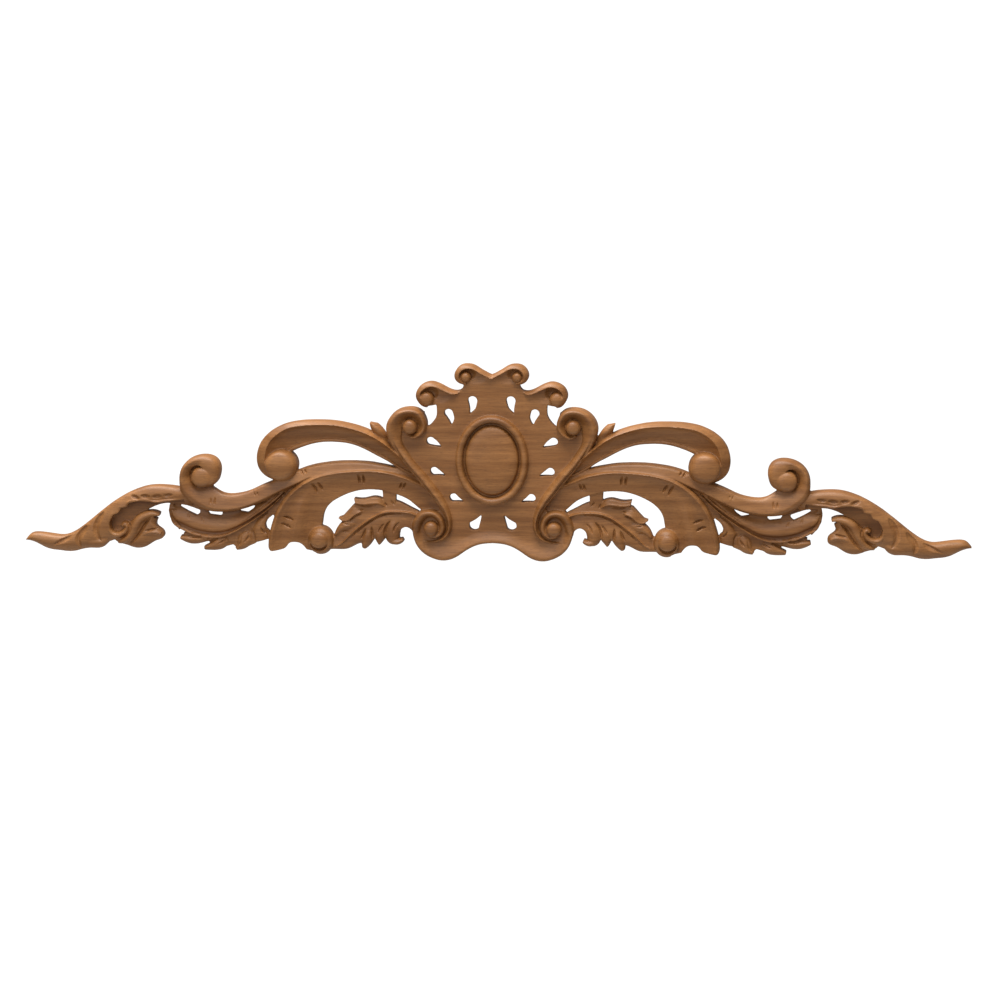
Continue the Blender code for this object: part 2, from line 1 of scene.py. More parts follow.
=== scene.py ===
"""The looks of a carved wooden headpiece: its carving in full, its beech wood, soft light and a camera.

The carving is made as a carver lays it out. Every scroll, strap and leaf is a form with its own
cross-section, laid between two edges and carried straight back. The forms of one half
are united, the openings and gouge cuts come out, the edges are softened, and the half is mirrored.
Tables are millimetres: out from the middle, up from the mount, and height forward of the flat back.
"""

import json
import math

import bpy
import numpy as np
from mathutils import Matrix, Vector
from mathutils.bvhtree import BVHTree

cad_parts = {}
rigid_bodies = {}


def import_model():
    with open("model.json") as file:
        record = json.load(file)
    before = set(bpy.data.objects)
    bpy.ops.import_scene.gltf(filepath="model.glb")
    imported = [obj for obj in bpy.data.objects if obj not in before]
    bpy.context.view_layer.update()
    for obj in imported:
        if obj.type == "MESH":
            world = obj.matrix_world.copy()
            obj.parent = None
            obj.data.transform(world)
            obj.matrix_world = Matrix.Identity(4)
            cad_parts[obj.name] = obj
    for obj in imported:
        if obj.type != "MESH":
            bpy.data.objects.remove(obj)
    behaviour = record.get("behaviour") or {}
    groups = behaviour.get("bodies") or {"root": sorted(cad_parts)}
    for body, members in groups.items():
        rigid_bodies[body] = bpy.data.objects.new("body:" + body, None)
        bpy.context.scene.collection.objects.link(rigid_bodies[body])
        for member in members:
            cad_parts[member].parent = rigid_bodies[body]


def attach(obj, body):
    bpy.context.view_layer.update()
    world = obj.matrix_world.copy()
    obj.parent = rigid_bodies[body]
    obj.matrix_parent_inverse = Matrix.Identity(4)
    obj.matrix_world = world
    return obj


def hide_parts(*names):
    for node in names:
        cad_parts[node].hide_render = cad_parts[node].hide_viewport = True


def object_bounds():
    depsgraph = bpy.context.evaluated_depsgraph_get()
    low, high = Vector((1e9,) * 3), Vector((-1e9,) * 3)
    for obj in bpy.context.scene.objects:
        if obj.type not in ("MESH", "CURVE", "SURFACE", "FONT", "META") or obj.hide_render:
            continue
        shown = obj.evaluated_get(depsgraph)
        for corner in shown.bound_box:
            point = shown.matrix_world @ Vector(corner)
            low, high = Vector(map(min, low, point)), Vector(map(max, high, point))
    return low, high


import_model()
CAD_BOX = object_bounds()

bl_info = {
    "name": "Carved headpiece",
    "version": (1, 0, 0),
    "blender": (4, 5, 0),
    "location": "3D View > Sidebar > Headpiece",
    "description": "A pierced wooden headpiece of scrolls, straps and leaves, carved from its forms",
    "category": "Add Mesh",
}

MM = 0.001
NODE = "headpiece"
BODY = "root"
PIECE = "carved_headpiece"
FORMS = "forms"
CUTTERS = "cutters"
CARRY = 0.03  # metres that each form is carried past the flat back
SPARE = 2 * MM  # the wood left there until the back is sawn flat
THROUGH = 40  # cutters reach this far before the back and behind it
SECTION_STEPS = 16
SECTION_WIDTH = 12  # a form's usual width, to space a cross-section's points
OUTLINE_STEPS = 5
JOINED = 0.2  # closer points of an outline are one point
TEARDROP_STEPS = 14
TEARDROP_TIP = 0.3
HEAD_TURN = 80  # degrees that a teardrop's round head turns to each side
LEAN_EDGE = 0.16  # share of a turned form's radius over which its lean fades out
CUT_STEP = 0.9  # between two points of a gouge cut
CUT_LIFT = 0.5  # how far its cutter stands over the surface
CUT_END = 0.03
CUT_FULLNESS = 0.45
RAY_START = -0.1  # metres: rays that read the surface start here, in front of it
SANDING = 4  # rounds of smoothing
MARK_SIZE = 9 * MM
CRISP_ANGLE = math.radians(50)
JOINT_GAP = 0.02 * MM  # closer points of the two halves are joined

# Cross-sections, as smooth runs that meet at crisp edges. Each point is the share of the way from the
# first edge to the second, and the millimetres that it lies under the crest.
SCROLL_ROLL = (((0, 6.4), (0.05, 3), (0.15, 0.7), (0.27, 0), (0.45, 1), (0.7, 3.6), (0.9, 5.6), (1, 6.4)),)
LOW_ROLL = (((0, 6.4), (0.05, 3.2), (0.16, 1), (0.36, 0), (0.6, 0.8), (0.82, 2.8), (0.94, 4.8), (1, 6.4)),)
SHAFT_ROLL = (
    ((0, 7.4), (0.07, 4.9), (0.15, 4.3), (0.22, 5), (0.27, 6.6)),
    ((0.27, 6.6), (0.32, 3), (0.42, 0.3), (0.5, 0), (0.68, 0.9), (0.88, 3), (0.96, 5), (1, 7.4)),
)
RIM_BEVEL = (((0, 3.8), (0.2, 2.2), (0.5, 0.8), (0.78, 0)), ((0.78, 0), (0.85, 1.6), (0.93, 3.4), (1, 5.4)))
BEAD_FACE = (((0, 5.2), (0.06, 2.8), (0.2, 0.8), (0.45, 0), (0.7, 0.4), (0.88, 1.6), (0.96, 3.4), (1, 6)),)
SKIRT_FACE = (((0, 1.8), (0.06, 0.5), (0.16, 0.1), (0.3, 0.6), (0.55, 2.2), (0.8, 3.4), (1, 3.95)),)
ARM_FACE = (
    ((0, 5), (0.045, 3.3), (0.09, 1.65), (0.135, 0)),
    ((0.135, 0), (0.18, 1.8), (0.34, 4.8), (0.58, 6.9), (0.84, 8)),
    ((0.84, 8), (0.86, 6.3), (0.93, 5.9), (1, 6.8)),
)
ARM_TURN = (
    ((0, 6), (0.11, 4), (0.22, 2), (0.34, 0)),
    ((0.34, 0), (0.39, 2.4), (0.54, 5.2), (0.72, 7), (0.9, 7.8)),
    ((0.9, 7.8), (0.93, 7.4), (0.96, 7.2), (1, 7.2)),
)
STRAP_FACE = (((0, 5), (0.06, 3.2), (0.4, 1.5), (0.82, 0)), ((0.82, 0), (0.88, 1.4), (1, 4.8)))
STRAP_TURN = (((0, 6), (0.1, 5.4), (0.4, 2.4), (0.72, 0)), ((0.72, 0), (0.84, 0.6), (0.94, 2.4), (1, 6)))
STRAP_END = (((0, 0.4), (0.2, 0.1), (0.4, 0), (0.6, 0.4)), ((0.6, 0.4), (0.78, 1.4), (0.92, 3.4), (1, 6.6)))
CRESCENT_FACE = (((0, 4.6), (0.04, 1.4), (0.09, 0)), ((0.09, 0), (0.14, 2.2), (0.3, 4), (0.6, 5), (1, 5.4)))
CRESCENT_FOOT = (
    ((0, 5), (0.03, 1.6), (0.07, 0.4)),
    ((0.07, 0.4), (0.13, 2.4), (0.25, 4.2), (0.36, 3.6), (0.48, 2), (0.58, 2.8), (0.72, 5.6),
     (0.86, 7.2), (1, 7.6)),
)
LEAF_FACE = (((0, 2.8), (0.2, 1.7), (0.4, 1.4)), ((0.4, 1.4), (0.56, 0.9), (0.8, 0.5), (0.92, 0.8), (1, 2.4)))
CURL_FACE = (((0, 2.6), (0.2, 1.5), (0.5, 1.1), (0.8, 0)), ((0.8, 0), (0.93, 1), (1, 4)))
BLADE_FACE = (
    ((0, 7.4), (0.2, 7.2), (0.4, 5.2), (0.58, 2.4), (0.74, 1.6), (0.82, 2.6)),
    ((0.82, 2.6), (0.85, 5.4), (0.9, 5.2), (0.935, 0.2)),
    ((0.935, 0.2), (0.96, 0), (1, 1.6)),
)
TAIL_FACE = (((0, 5), (0.05, 2.8), (0.2, 0.8), (0.45, 0), (0.7, 0.8), (1, 4.4)),)
LOBE_FACE = (((0, 3.2), (0.1, 1.7), (0.42, 0), (0.7, 0.6), (0.9, 1.9), (1, 3.4)),)
RIB_FACE = (((0, 2.6), (0.25, 0.6), (0.5, 0), (0.75, 0.6), (1, 2.6)),)

# Forms laid between two edges. Each station is the first edge out and up, the second edge out and up,
# and the crest's height.
RAIL = (
    (71.5, 23, 69, 26, 14.5), (66.7, 20.5, 66.5, 25.2, 14.8), (61, 21.9, 63.8, 27, 15.2),
    (56.6, 25.6, 62.8, 29.4, 15.6), (54.4, 31.8, 62.4, 32.2, 16), (55.8, 38, 63.6, 35, 16.2),
    (60, 44.2, 66, 37.2, 16.4), (69.5, 46.5, 69.3, 38, 16.5), (79.3, 43.9, 72.7, 36.4, 16.5),
    (86.8, 36.5, 75.2, 31.6, 16.5), (89, 28, 76.2, 25.4, 16.5), (86.2, 18, 76, 18, 16.4),
    (79.5, 6.1, 71.4, 9.6, 16.2), (72.3, -3.4, 65.2, 0.8, 16.2), (63.4, -14, 56.6, -8.8, 16.2),
    (55.1, -24.6, 48.4, -19.5, 16.2), (46.8, -35.2, 40.1, -31.4, 16), (40.6, -44.8, 35.2, -43.2, 15.6),
    (38.6, -55, 34.3, -55.6, 15), (42, -62.2, 38.2, -63.6, 14), (50.4, -66.2, 48.2, -68.2, 12.6),
    (58.4, -66.8, 58.2, -67.8, 10.5),
)
LOW_VOLUTE = (
    (67.4, -63, 60, -66.5, 10.5), (68.4, -54.8, 60.6, -58, 12.6), (66.3, -48.4, 58.6, -51, 14.2),
    (62.3, -42.9, 56, -47.6, 14.8), (56.5, -40.7, 52.5, -46.2, 15), (49.6, -41, 49.2, -47.2, 15),
    (43.4, -45, 47, -50, 15), (40.3, -51.4, 46.1, -53.4, 14.8), (40, -57.2, 46.6, -57, 14.6),
    (43.4, -62.4, 48.6, -59.6, 14.4), (49.4, -64.6, 51, -60.6, 14.2), (55.5, -62.4, 53.4, -59.8, 14),
)
TOP_RIM = (
    (-3, 71.8, -3, 68.8, 12), (4.1, 75.9, 4.5, 72.8, 12.4), (9.3, 78.9, 9.8, 75.6, 12.6),
    (14.9, 82.2, 14.6, 78.4, 12.8), (19.8, 83.1, 19, 79.4, 13), (24.8, 82.4, 22.8, 78.4, 13),
    (29.2, 79, 25.4, 76, 13), (31.1, 74.2, 26.2, 73, 12.8), (29.6, 69.2, 25, 70, 12.4),
    (25.4, 66.5, 23, 68.6, 12), (21, 65.9, 21, 68.4, 11.6),
)
SIDE_RIM = (
    (26.5, 61, 26, 59.6, 8.8), (30, 60.5, 29.6, 57.4, 11.2), (34.2, 61.4, 34.6, 58, 12.4),
    (39.4, 64, 40.2, 60.2, 12.6), (45, 66.8, 45.2, 62.8, 12.8), (51, 68.1, 50.2, 63.8, 13),
    (57.6, 66.2, 54.8, 62.4, 13), (62.2, 61.9, 58, 59.8, 13), (63.7, 56.2, 59, 56.4, 12.8),
    (61.8, 51.2, 57.8, 53, 12.4), (58.6, 47.6, 57, 51, 11.4), (54, 46.2, 54.4, 49.4, 10.4),
)
SKIRT = (
    (67.8, -58, 60, -59, 12.2), (66.9, -64, 58.6, -61.6, 12.4), (62.8, -73, 55, -65.4, 12.6),
    (55.4, -79.6, 49.6, -68, 12.6), (46, -83.3, 43.6, -68.4, 12.6), (37.4, -83.2, 36.4, -67.2, 12.6),
    (29.4, -79.7, 27.8, -65, 12.4), (20, -73.4, 17.6, -60, 12.2), (10, -69.5, 8.4, -57.4, 12.2),
    (-4, -68.4, -4, -56.6, 12.2),
)
ARM = (
    (70, 0, 64, -13.2, 14), (84, 13, 80.4, -5, 14.4), (91.8, 19.4, 87.4, 0, 14.8),
    (103, 26.2, 95.8, 4.5, 15), (115, 30.6, 106.4, 10.2, 15), (126.9, 33.3, 119.6, 15.2, 15),
    (138.9, 34.6, 136, 16.8, 15), (151, 34.7, 149.2, 15.6, 15), (163.4, 33.9, 159.8, 12.4, 15),
    (174, 31.6, 166.8, 9.6, 15), (183, 27.7, 171.4, 7, 15), (190.4, 22.5, 174.6, 4.6, 15),
    (195.4, 16.4, 176.4, 2.4, 15), (198.4, 9, 177.2, 0.4, 14.8), (199.4, 1.1, 177.4, -1.8, 14.2),
    (197.4, -7.1, 177, -4.4, 13.4), (191.4, -13.6, 176.4, -7, 12.6), (184, -17, 176, -9, 12),
)
STRAP = (
    (62, -14, 62, -22, 8.8), (78, -6, 77, -14, 10.2), (92, -2.6, 92.1, -11, 12.2),
    (105, -0.6, 107, -9.2, 12.6), (118, 0, 119, -8.8, 12.8), (131, -0.4, 130, -9.4, 12.8),
    (144, -2, 141, -10.8, 13), (157, -5, 153, -14.4, 13), (172, -11.2, 166, -20.6, 13),
    (186.7, -17.2, 179.1, -26.6, 13), (196.4, -21.4, 189.6, -32.2, 13), (205.9, -25.9, 201, -37.4, 13),
    (215.1, -28.4, 213, -41.6, 13), (222.8, -29.2, 224.6, -43.6, 13), (230.4, -27.6, 236.8, -43.8, 13),
    (237, -23.6, 248.4, -41.2, 13), (243, -21, 258.2, -35, 13), (250.6, -19.2, 264.6, -26.6, 13.2),
    (254.8, -15.4, 266, -16.6, 13.4), (255.4, -10.6, 263.8, -6.6, 13.6), (253.6, -6.6, 257.8, 0.3, 13.8),
    (250.2, -4.4, 249.6, 4, 14), (246.8, -4.4, 241.8, 4.6, 14), (244.4, -6.2, 234.4, 1.8, 14),
    (243.4, -9.2, 230.6, -4.8, 14), (243.8, -12.6, 231, -12.2, 13.8), (245.4, -15.4, 233.8, -18.6, 13.6),
    (247.6, -17.2, 240.6, -22.6, 13.2),
)
CRESCENT = (
    (56, -20, 46, -36, 10.4), (66.6, -14.6, 57.6, -42, 11.4), (77.1, -10.4, 68.6, -34, 13.2),
    (87.6, -7.6, 81, -27.5, 14.6), (98.2, -6, 93, -24.2, 15), (108.7, -5.8, 104, -23.4, 15.2),
    (119.3, -6.3, 113.4, -24.4, 15.4), (129.9, -7.2, 122.2, -27, 15.4), (140.5, -8.9, 129.4, -30.4, 15.4),
    (151.2, -12, 135, -33.8, 15.4), (161, -17.4, 139, -37.6, 15.4), (169.9, -24.3, 141.8, -41.6, 15.4),
    (177.4, -33, 143.6, -46.2, 15.4), (183.4, -43.2, 144.4, -51.2, 15.2), (187.6, -54.6, 145.4, -57, 15),
    (190.2, -66, 147, -66, 14.6), (190.6, -77, 150, -79, 14),
)
LEAF = (
    (63, -42.4, 64.6, -62, 8.4), (69.5, -39.2, 70.4, -60, 9.4), (79.5, -34.2, 80.4, -60.4, 10),
    (92, -32.5, 90.4, -64, 10.2), (103, -36, 100.6, -66, 10.4), (114, -40.4, 108, -69, 10.2),
    (124, -48.8, 115, -70.8, 10), (130.6, -54.8, 124, -75, 9.8), (134.2, -61.8, 132, -75.4, 9.5),
    (140, -67, 140, -75.6, 9),
)
BLADE = (
    (272, -37, 274.8, -41, 8.4), (268, -35, 274.2, -49.6, 8.8), (258, -34, 266.6, -58.6, 9.4),
    (247, -35, 255.2, -64, 9.8), (236, -37, 241.8, -66.4, 10.2), (222, -38, 227.8, -65, 10.4),
    (209, -36, 213.6, -57.9, 10.6), (198, -31, 201.4, -50, 10.8), (188, -25.5, 191.6, -42.6, 11),
    (179, -19.5, 181.6, -33.6, 11), (168, -12, 172.4, -23, 11),
)
TAIL = (
    (256, -25.8, 256, -39.2, 8), (268.6, -22.9, 267, -38.4, 12), (279, -21.9, 276.4, -37.4, 12.4),
    (290, -22, 285, -39, 12.8), (301.3, -24.8, 293.2, -42.6, 13.2), (311.4, -29.2, 300.4, -47.4, 13.6),
    (321.4, -35.1, 307.4, -54, 14), (332.4, -43.1, 316, -65, 13.8), (343.4, -52, 327.4, -70.4, 13.2),
    (353.4, -59.7, 338.4, -75.4, 12.6), (361.1, -64.2, 348, -76.6, 12), (368.8, -65.8, 358.6, -79.2, 11.4),
    (379.4, -64.5, 370.4, -78.6, 10.8), (389.4, -63.6, 382.4, -76.6, 10), (395.8, -64.9, 391.6, -72.2, 9),
    (400, -69.4, 400, -70.2, 6.5),
)
PETAL = (
    (323, -66.5, 321, -70.6, 9), (314, -68, 312.6, -73.2, 9.8), (309, -65.4, 304.4, -75.8, 10.6),
    (305.6, -60, 295, -74, 11), (302, -54.8, 286.8, -69.2, 10.8), (299, -51.4, 280.4, -65.4, 10.4),
    (297.6, -49.6, 282, -60.2, 10.2), (296.4, -48.6, 286, -57.2, 10), (293, -46.6, 285.6, -50.6, 9.6),
)
CURL_LOBE = (
    (117.3, -31.2, 116, -36.1, 10.8), (112, -31.9, 111, -36.8, 11.4), (106.6, -31.4, 105.8, -36.6, 11.8),
    (100.8, -30, 100, -36, 11.8), (95.8, -30.6, 95.8, -36.4, 11.4), (91, -33, 91.4, -39, 9),
)
SIDE_LOBE = (
    (131.2, -48.4, 127.2, -51, 9.8), (126.6, -46.8, 121.6, -50.6, 10.6), (123.6, -45.2, 118.8, -48.2, 11.2),
    (119.9, -41.4, 115.8, -46, 11.4), (116.6, -38.4, 111.6, -44.2, 10.6), (112, -36.2, 107, -43.4, 8.2),
)
BUD = (
    (96, 13, 85, 13, 8), (100, 22.5, 87.6, 20, 9.4), (101.6, 27.5, 90.4, 25, 11.4),
    (102.8, 31.2, 94.4, 30, 11.2), (103.3, 33.3, 96.8, 32.1, 10.4),
)

# Lobes, ribs and small rolls along a middle line: out, up, half width, crest height.
SMALL_LOBES = (
    ((114, -54, 4, 8), (122, -54.2, 4.6, 10.4), (128.4, -57.4, 3.6, 10.2), (133.2, -63, 1.6, 9.6)),
    ((80.4, -47, 4, 8), (83.4, -55.6, 6, 10.8), (85, -62, 5.8, 11), (84.4, -66.6, 5.2, 10.6),
     (82.6, -69.6, 2.6, 9.8)),
    ((88, -66.4, 2.4, 8), (84, -68, 2.6, 11), (79.6, -68.2, 2.4, 10.8), (76, -66.6, 1.5, 10)),
    ((91, -50, 4, 8), (94.4, -59.6, 5.4, 10.8), (96, -66.2, 4, 10.6), (96.4, -71, 0.9, 9.4)),
    ((101, -53, 4, 8), (105, -62.6, 5.6, 10.8), (107.6, -69.4, 4.2, 10.4), (109.6, -74.2, 1.8, 9.4)),
)
LOW_LOBES = (
    ((243, -66.6, 3, 8), (250, -68, 3.6, 9.2), (258.6, -68, 3.6, 9.2), (266.4, -66.6, 1.7, 8.4)),
    ((226, -67.6, 3.6, 8), (231.4, -70.6, 5.4, 9.4), (238, -73.4, 4.2, 9.4), (245.9, -75.6, 1.7, 8.6)),
    ((208, -61.6, 4.6, 8), (210.8, -67.2, 6.6, 9.4), (214, -72.4, 4.6, 9.4), (218.7, -76, 1.4, 8.6)),
    ((191, -46.6, 3, 8), (195, -52.4, 4.8, 9.4), (197.6, -59.6, 6.6, 9.6), (196, -68.4, 7.2, 9.2)),
)
TAIL_LOBES = (
    ((319.6, -70.6, 1.4, 10.4), (313.4, -68.6, 3, 12), (308.6, -63.6, 3.8, 13), (304.6, -56.4, 4, 13.4),
     (300.2, -50.2, 3.6, 13.2), (294, -46.8, 3, 12.6), (288, -45.9, 2.3, 11.8), (283.6, -46.8, 1.5, 10.8)),
    ((297, -63.6, 1.4, 11.4), (289, -61.4, 2, 12), (282.6, -63, 2, 11)),
    ((348, -69.2, 6.4, 11.8), (340, -69.8, 6, 12.4), (333.2, -69.2, 5.4, 12.2), (328.2, -66.6, 2.8, 11)),
)
LIP = (
    (262, -32.4, 1, 10), (271, -33.3, 1.2, 12.8), (280, -34.2, 1.3, 13), (285.6, -35, 1.3, 13.2),
    (291, -34, 1.3, 13.4), (300, -33.3, 1.3, 13.6), (305, -34, 1.3, 13.8), (309.8, -35.4, 1.3, 14),
    (311.6, -38.4, 1.3, 14), (316.6, -39.6, 1.3, 14), (319.2, -43.6, 1.3, 14), (323.4, -45.6, 1.3, 14),
    (325.8, -49.6, 1.3, 14), (327.4, -54.2, 1.5, 13.8), (326.6, -59.6, 1.8, 13.6), (323.8, -63, 2.1, 13.4),
    (319.4, -64.2, 2.4, 13.2), (315.2, -62.6, 2.4, 13), (312, -59.4, 2.2, 13), (311.4, -56, 2, 13),
    (313.4, -54.6, 1.9, 12.8), (315.2, -56.4, 1.7, 12.4),
)
RIBS = (
    ((64, -45.6, 0.8, 9.4), (70, -43.5, 0.9, 10.4), (80.2, -42.3, 1, 11), (90.8, -42.9, 1, 11.2),
     (101.5, -47.3, 1, 11.2), (112.2, -54.9, 1, 11), (120.9, -62.5, 0.9, 10.8), (127.3, -69, 0.9, 10.6),
     (133, -72.6, 0.8, 10.2)),
)

# Turned forms. A profile is the share of the radius and the millimetres under the top.
BALL_TURN = ((0, 0), (0.35, 0.3), (0.62, 1), (0.78, 2), (0.88, 3.6), (0.95, 6), (0.985, 8), (1, 11))
EYE_TURN = ((0, 0), (0.4, 0.2), (0.68, 0.9), (0.86, 2.2), (0.96, 3.8), (1, 6))
DISC_TURN = ((0, 0.4), (0.5, 0), (0.72, 0.4), (0.86, 1.6), (0.95, 3.4), (1, 6.2))
BOSS_TURN = ((0, 0), (0.4, 0.2), (0.7, 0.8), (0.86, 1.6), (0.94, 2.6), (0.98, 4.2), (1, 8.6))
BOSS = (0, 2.3, 22.7, 29.9, 15.6)
# The ring round the boss: its middle's height, the reach out and up of its outer and inner edge, its crest.
BEAD = (2.3, 30.6, 38, 24.4, 31.8, 15.4)
BEAD_REACH = 97  # degrees from its outermost point, so that it crosses the middle of the carving
BEAD_STATIONS = 33
EYES = (
    ("scroll eye", 68.6, 30.8, 6.2, 6.2, 18.6), ("low scroll eye", 51.8, -56, 6.2, 6.2, 18),
    ("top eye", 21.6, 72.6, 4.5, 4.5, 13), ("side eye", 54.8, 53.8, 6.4, 6.4, 13.4),
)
STRAP_EYE = (246.2, -13.8, 9.4, 8.8, 15.8)
ARM_BALL = (178, -3, 13.8, 13.3, 20)
BALL_LEAN = 1
FOOT_DISC = (146, -67.6, 10.8, 12, 14.2)
FOOT_EYE = (146.9, -66.8, 8, 8, 17.5)

# The ground of the cartouche, as smooth runs that meet at corners.
GROUND_OUTLINE = (
    ((-4, 69.4), (9, 76.6), (20, 81.4), (27.6, 78), (28, 71), (23.4, 66.2)),
    ((23.4, 66.2), (23.8, 64.4), (25.8, 61.6), (29.4, 60)),
    ((29.4, 60), (41, 62.8), (51, 65.6), (59.6, 61.4), (61.2, 55), (58, 49.6), (53.6, 48),
     (46.6, 49)),
    ((46.6, 49), (46.2, 44), (46.8, 39), (50.4, 33.4), (53.4, 30.6), (58, 29)),
    ((57, 42), (69, 44.4), (80, 41.4), (84.6, 35), (85.6, 27), (83.5, 15)),
    ((83.5, 15), (76, 5), (68, -5), (60, -14.4), (52, -25), (44, -36)),
    ((44, -36), (46, -42), (54, -43.4)),
    ((54, -43.4), (64, -47.6), (66, -55), (67.4, -61.5)),
    ((67.4, -61.5), (63.4, -72.4), (55.6, -79.6), (46, -83.3), (37.6, -83.3), (29.6, -79.8), (20, -73.2),
     (10, -69.4), (-4, -68.4)),
)

# Low webs of wood between the forms: front height and outline.
WEBS = (
    (7.6, ((160, -14), (164, -22), (172, -33), (180, -44), (187.6, -52), (193.6, -52),
           (190.4, -42.4), (181, -33.6), (172, -23.4), (166, -16))),
    (7, ((236, -4), (257, -4), (258, -24), (238, -25))),
    (6.6, ((255, -62), (264, -62.6), (262, -65.6), (252.3, -69.4), (242.3, -70), (242.6, -74.8),
           (232, -75.4), (221.2, -72.2), (218.9, -74.4), (211.5, -75.2), (202, -71), (197.8, -66.6),
           (189, -66.4), (190.4, -60.4), (193.4, -58.6), (194.4, -54.8), (193.2, -50.4), (190.2, -47),
           (191.6, -41.8), (201.4, -49.2), (213.6, -57.1), (227.8, -64.2), (241.8, -65.6))),
    (5.6, ((60, -36), (61.4, -42.2), (58, -45), (42, -46), (40, -36), (48, -30))),
    (8.2, ((93, -24), (92.4, -34), (91, -38), (84, -38), (81.8, -33), (81.6, -24))),
    (8.6, ((100, -33), (118, -37), (128, -48), (112, -48), (98, -42))),
    (7, ((80, 4), (82, 16), (86.6, 19.4), (94, 14), (88, 2))),
    (5.6, ((273.4, -35.6), (275.6, -39), (276.2, -43), (275.2, -49), (272.2, -54.8), (267.2, -60.2),
           (265.6, -58), (270.2, -52), (272.6, -46), (272.6, -40), (270.6, -36))),
    (9, ((326, -66), (319, -71), (312, -73), (306, -64), (312, -58), (324, -62))),
)

# The openings. Pierced teardrops: head out, up, head radius; middle of the tail and its half width; its tip.
# The hook cut and the foot cut are smooth runs that meet at corners, and the slits have straight sides.
TEARDROPS = (
    (16.1, 52.3, 4, 16.4, 46.4, 2.6, 18.6, 41.2), (36.3, 41.7, 3.7, 34.4, 37, 2.8, 34.4, 31.8),
    (51.6, 17.8, 3.7, 47.4, 15.8, 2.5, 42.8, 13.2), (48.7, -7.8, 3.7, 44.6, -9.2, 2.1, 39.6, -11.2),
    (32.6, -30.2, 3.7, 28.6, -31.8, 1.8, 24.4, -33.4), (15.6, -53.9, 4.4, 12.6, -49.9, 2.3, 9.6, -45),
)
HOOK_CUT = (
    ((78.8, -62.5), (78.6, -59.6), (76.6, -56.8), (73.4, -55.6), (70.2, -56.8), (68.2, -59.4), (68, -62)),
    ((68, -62), (67.4, -68), (67, -75)),
    ((67, -75), (70, -76), (73.4, -75)),
    ((73.4, -75), (73.8, -70), (74.2, -66.5)),
    ((74.2, -66.5), (76.5, -65), (78.8, -62.5)),
)
SLITS = (
    ((266.7, -40.2), (260, -44.1), (252.1, -47.8), (249.6, -45.6), (249.6, -43.4), (254.7, -41.6),
     (265, -38.4)),
    ((242.8, -44.3), (241.1, -46.9), (231.9, -48), (230.3, -46.4), (230.3, -44.6), (241.3, -43.4)),
    ((215.5, -43.8), (208.5, -44.9), (204.2, -42), (201.5, -38.4), (207.5, -40.4), (214, -41.8)),
    ((186.2, -46), (189.6, -48.6), (192.2, -51.4), (193.5, -54.8), (192.7, -58.6), (190.7, -60),
     (188.9, -58.2), (187, -52.1), (185.4, -47.6)),
)
FOOT_CUT = (
    ((200, -71), (190.8, -73), (189.2, -75.8), (185.6, -76.6)),
    ((185.6, -76.6), (181, -75.9), (175.6, -73.4), (172.2, -69.5), (168.4, -68.7), (164.2, -69.5),
     (158.4, -75.8)),
    ((158.4, -75.8), (154.6, -76.8), (150, -77.4)),
    ((150, -77.4), (150, -95), (200, -95), (200, -71)),
)
HOLLOW = (
    (262, -33.2), (271, -34.2), (280, -35.2), (285.6, -36.2), (291, -35.2), (300, -34.4),
    (305, -35.2), (309, -36.4), (310.6, -39.4), (315.8, -40.6), (318.2, -44.6), (322.4, -46.4),
    (324.8, -50.4), (326.2, -54.6), (325.2, -59.4), (322.8, -61.8), (319, -62.6), (315.8, -61),
    (313, -59), (311, -55), (306.6, -51.6), (300, -46.6), (296, -44), (284, -42), (262, -43),
)
HOLLOW_FLOOR = 4.5
BEHIND = ((-30, -120), (430, -120), (430, 120), (-30, 120))

# Round gouge dips: out, up, the reach out and up, the depth, and how far the long way is turned, in degrees.
DIPS = (
    (303.9, -30.8, 4.4, 1.9, 2, 20), (294.5, -30.2, 4.6, 1.9, 2.2, 4), (284.6, -30.4, 4.8, 1.9, 2.2, -4),
    (275.1, -29.4, 4.6, 1.7, 1.8, -8),
)
# Dished places in the ground, cut before the rims go on: out, up, reach out and up, and depth.
RECESSES = (
    (13.5, 73, 10, 6.5, 1.1), (19, 75, 7, 5.4, 4.2), (44.6, 57, 10, 7, 1.1), (50.6, 58.6, 7, 6, 4.2),
)

# Gouge cuts along the surface: half width, depth, and the points of the line. The ticks are short pairs.
TICK_CUTS = (
    (1.3, 3.2, ((152.6, -17.6), (149.8, -21.6), (147.4, -27))),
    (1.3, 3.2, ((147.6, -17), (145.2, -20.2), (143.2, -24.2))),
    (1.3, 3.2, ((113.4, -10.2), (112.2, -14.2), (112.2, -18.6))),
    (1.3, 3.2, ((109.4, -10.2), (108.4, -14.2), (108.5, -18.5))),
    (1.2, 3, ((76.2, -17), (77.2, -20), (78.6, -23.2))),
    (1.2, 3, ((73, -17), (74.2, -20), (75.8, -23.2))),
    (1.3, 3.2, ((177.8, -46.6), (172.6, -48), (168.2, -50.2))),
    (1.3, 3.2, ((180, -52.6), (175, -54.2), (170.6, -56.8))),
    (1.1, 2.6, ((162.6, -6.8), (160.9, -9), (159.9, -11.2))),
    (1.1, 2.6, ((159.4, -6.2), (158, -8), (157.3, -9.8))),
    (0.6, 1.8, ((202.4, -25.2), (201.4, -27.8), (200.6, -30.6))),
    (0.6, 1.8, ((199.4, -25.6), (199, -27.4), (198.6, -29.4))),
    (0.7, 2.4, ((238.7, -30.6), (238.7, -34), (238.9, -37.8))),
    (0.7, 2.4, ((235.1, -30.6), (235.4, -34), (235.9, -37.8))),
)
